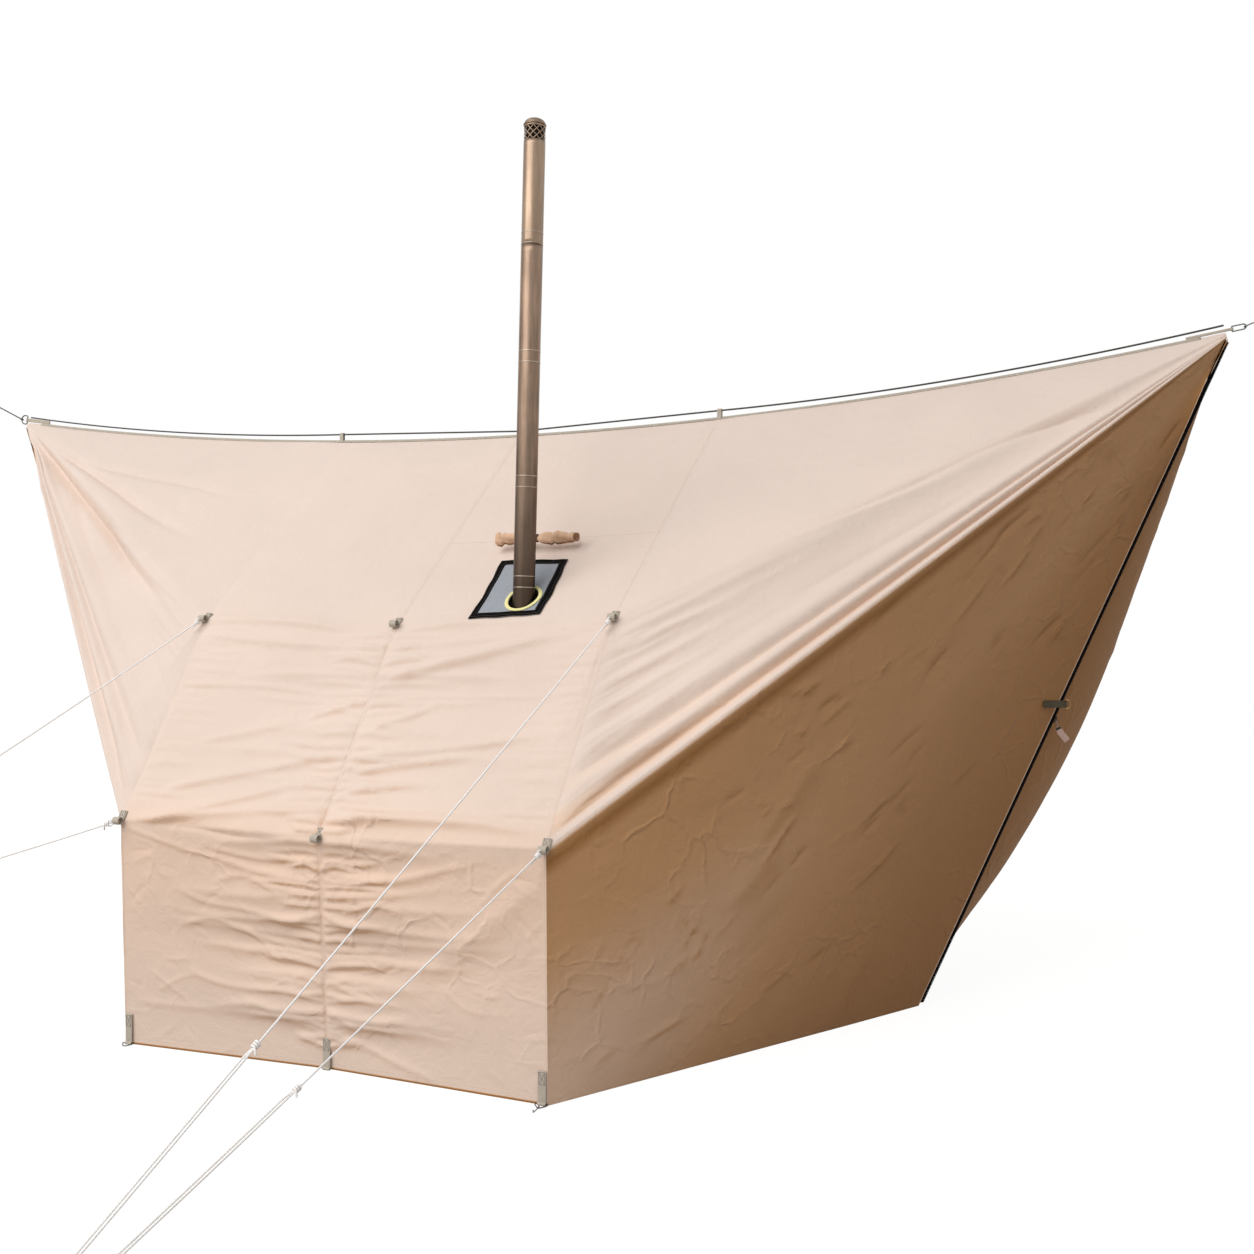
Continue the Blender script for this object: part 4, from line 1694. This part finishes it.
# a retaining band: two thin raised lines a little apart, each a small rounded ring on the pipe
def addBands():
    a = np.linspace(0, 2 * math.pi, 12, endpoint=False)
    for k, z in enumerate(pipe["ribs"]):
        for half, shift in (("low", -0.5), ("high", 0.5)):
            radius = pipe["radius"] + 0.0001 + pipe["ribRise"] * np.sin(a)
            height = pipeHeight(z) + shift * pipe["ribSpacing"] + pipe["ribWidth"] / 2 * np.cos(a)
            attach(turned(f"pipe_band_{k}_{half}", together(radius, height), ribFoil), "pipe")


# sleeve, lattice and rim stand above one another; the cap is a low dome with a rounded lip
def addPipe():
    crown, bottom = pipeHeight(pipe["top"]), pipeHeight(pipe["bottom"])
    foot, rim = crown - pipe["sleeveLength"], crown - pipe["rim"]
    addRolledPipe(bottom, foot, crown)
    radius, inner, low = pipe["radius"], pipe["radius"] - pipe["sleeveWall"], rim - pipe["lattice"]
    sleeve = [(radius, z) for z in np.linspace(low, foot, 24)] + [(inner, z) for z in np.linspace(foot, low, 8)]
    onNode(turned("arrestor_sleeve_foil", sleeve, sleeveFoil), "arrestor_sleeve", "pipe")
    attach(turned("arrestor_rim", [(radius, crown), (radius, rim), (inner, rim), (inner, crown)], sleeveFoil), "pipe")
    addLattice(low, rim)
    lip, rise = radius + pipe["capLip"], pipe["capRise"] - 0.004
    a = np.linspace(math.pi / 2 - 0.02, 0.12, 22)
    cap = together((lip - 0.002) * np.cos(a), crown + 0.0043 + rise * np.sin(a)).tolist()
    cap += [(lip - 0.0006, crown + 0.0040), (lip, crown + 0.0030), (lip, crown + 0.0010)]
    cap += [(lip - 0.0006, crown + 0.0003), (lip * 0.02, crown + 0.0003)]
    onNode(turned("arrestor_cap_dome", cap, capFoil), "arrestor_cap", "pipe")


# crossing flat strands, half wound to the left and half to the right, over a dark inner screen
def addLattice(low, high):
    count, sides, flat = pipe["strands"], 8, 0.5
    t = np.linspace(0, 1, 26)
    turn = np.linspace(0, 2 * math.pi, sides, endpoint=False)
    parts = []
    for hand in (-1, 1):
        for k in range(count):
            out = aroundPipe(2 * math.pi * k / count + hand * t * 4 * math.pi / count)
            reach = pipe["radius"] - pipe["strandRadius"] + 0.0002 * hand
            path = pipe["through"] + out * reach + (low + t * (high - low))[:, None] * pipe["axis"]
            cross = np.cross(unit(np.gradient(path, axis=0)), out)
            parts.append(sweptPoints(path[:, None] + pipe["strandRadius"] * circle(turn, out * flat, cross)))
    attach(manyParts("arrestor_lattice", np.array(parts), *sweptFaces(len(t), sides), sleeveFoil), "pipe")
    wall = pipe["radius"] - 0.0035
    screen = [(wall, high), (wall, low), (wall - 0.0006, low), (wall - 0.0006, high)]
    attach(turned("arrestor_screen", screen, sootedMesh), "pipe")


addPipe()
print("pipe raised")


# Rings, link, hooks and sliders

hardware = {
    "ends": {
        "ridge_ring_left": ("left", "ring_left", 0.0022, 0.031, 0.035, 0.0085),
        "ridge_link_right": ("right", "link_right", 0.0017, 0.036, 0.0165, 0.0035),
    },
    "plain": {
        "tree_hook_right": steelWire,
        "hem_hook": steelWire,
        "hem_ring_left": steelWire,
        "hem_ring_right": steelWire,
        "rear_hem_ring_left": steelWire,
        "rear_hem_ring_right": steelWire,
        "door_ring_left": tanWire,
        "door_ring_right": tanWire,
        "zip_slider_left": blackNylon,
        "zip_slider_right": blackNylon,
    },
    "pullHinge": (1.57414, 0.0, 0.79303),
    "pullWire": 0.0009,
    "pullHalf": 0.0072,
    "pullLink": 0.016,
    "tag": (0.017, 0.049, 0.0016),
    "tagLean": {"left": (15.0, 17.0), "right": (15.0, 40.0)},
    "tagTurn": {"left": 0.0, "right": 80.0},
}


# a closed route: an upright bar through the frame's origin and a rounded bow beyond it
def ringRoute(frame, length, halfHeight, corner):
    inner, outer = corner * 0.6, halfHeight * 0.98
    corners = [(inner, halfHeight - inner, inner), (length - outer, halfHeight - outer, outer)]
    corners += [(length - outer, outer - halfHeight, outer), (inner, inner - halfHeight, inner)]
    points = []
    for (u, v, radius), first in zip(corners, (math.pi, math.pi / 2, 0.0, -math.pi / 2)):
        for a in np.linspace(first, first - math.pi / 2, 10):
            points.append((u + radius * math.cos(a), 0.0, v + radius * math.sin(a)))
    return placed(frame, points)


# a wire link on the slider's eye, a dark crimp and a stiff webbing tag that turns towards the front and leans outwards
def addPull(end, xSign):
    hinge, side = np.array(hardware["pullHinge"]), np.array([0.0, 1.0, 0.0])
    first, last = (math.radians(a) for a in hardware["tagLean"][end])
    hang = np.array([math.sin(first), 0.0, -math.cos(first)])
    half, low = hardware["pullHalf"] * side, hinge + hang * hardware["pullLink"]
    corners = [hinge - half, hinge + half, low + half / 2, low - half / 2, hinge - half]
    route = readAt(np.arange(32) / 8, range(5), corners)
    made = closedWire(f"zip_pull_{end}_link", mirrored(route, xSign), hardware["pullWire"], steelWire, sides=10)
    onNode(made, f"zip_pull_{end}", f"pull_{end}")
    width, length, thickness = hardware["tag"]
    t = np.linspace(0, 1, 24)
    lean = first + (last - first) * np.clip(t * 1.6, 0, 1)
    step = together(np.sin(lean), 0, -np.cos(lean))
    path = low - hang * 0.002 + np.cumsum(step, axis=0) * length / len(t)
    turn = math.radians(hardware["tagTurn"][end]) * np.clip(t * 3.0, 0, 1)
    across = np.cos(turn)[:, None] * side + np.sin(turn)[:, None] * np.cross(step, side)
    path, across = mirrored(path, xSign), mirrored(across, xSign)
    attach(band(f"zip_pull_{end}_tag", path, across, width, thickness, paleTag), f"pull_{end}")
    crimp = band(f"zip_pull_{end}_crimp", path[2:6], across[2:6], width * 1.04, thickness * 1.9, blackNylon)
    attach(crimp, f"pull_{end}")


def addHardware():
    for name, (end, body, wire, length, height, corner) in hardware["ends"].items():
        route = ringRoute(ridge["ends"][end], length - 2 * wire, height / 2 - wire, corner)
        onNode(closedWire(name + "_wire", route, wire, steelWire), name, body)
    addPull("left", -1.0)
    addPull("right", 1.0)
    for name, look in hardware["plain"].items():
        materials = bpy.data.objects[name].data.materials
        materials.clear()
        materials.append(look)


addHardware()
print("hardware fitted")
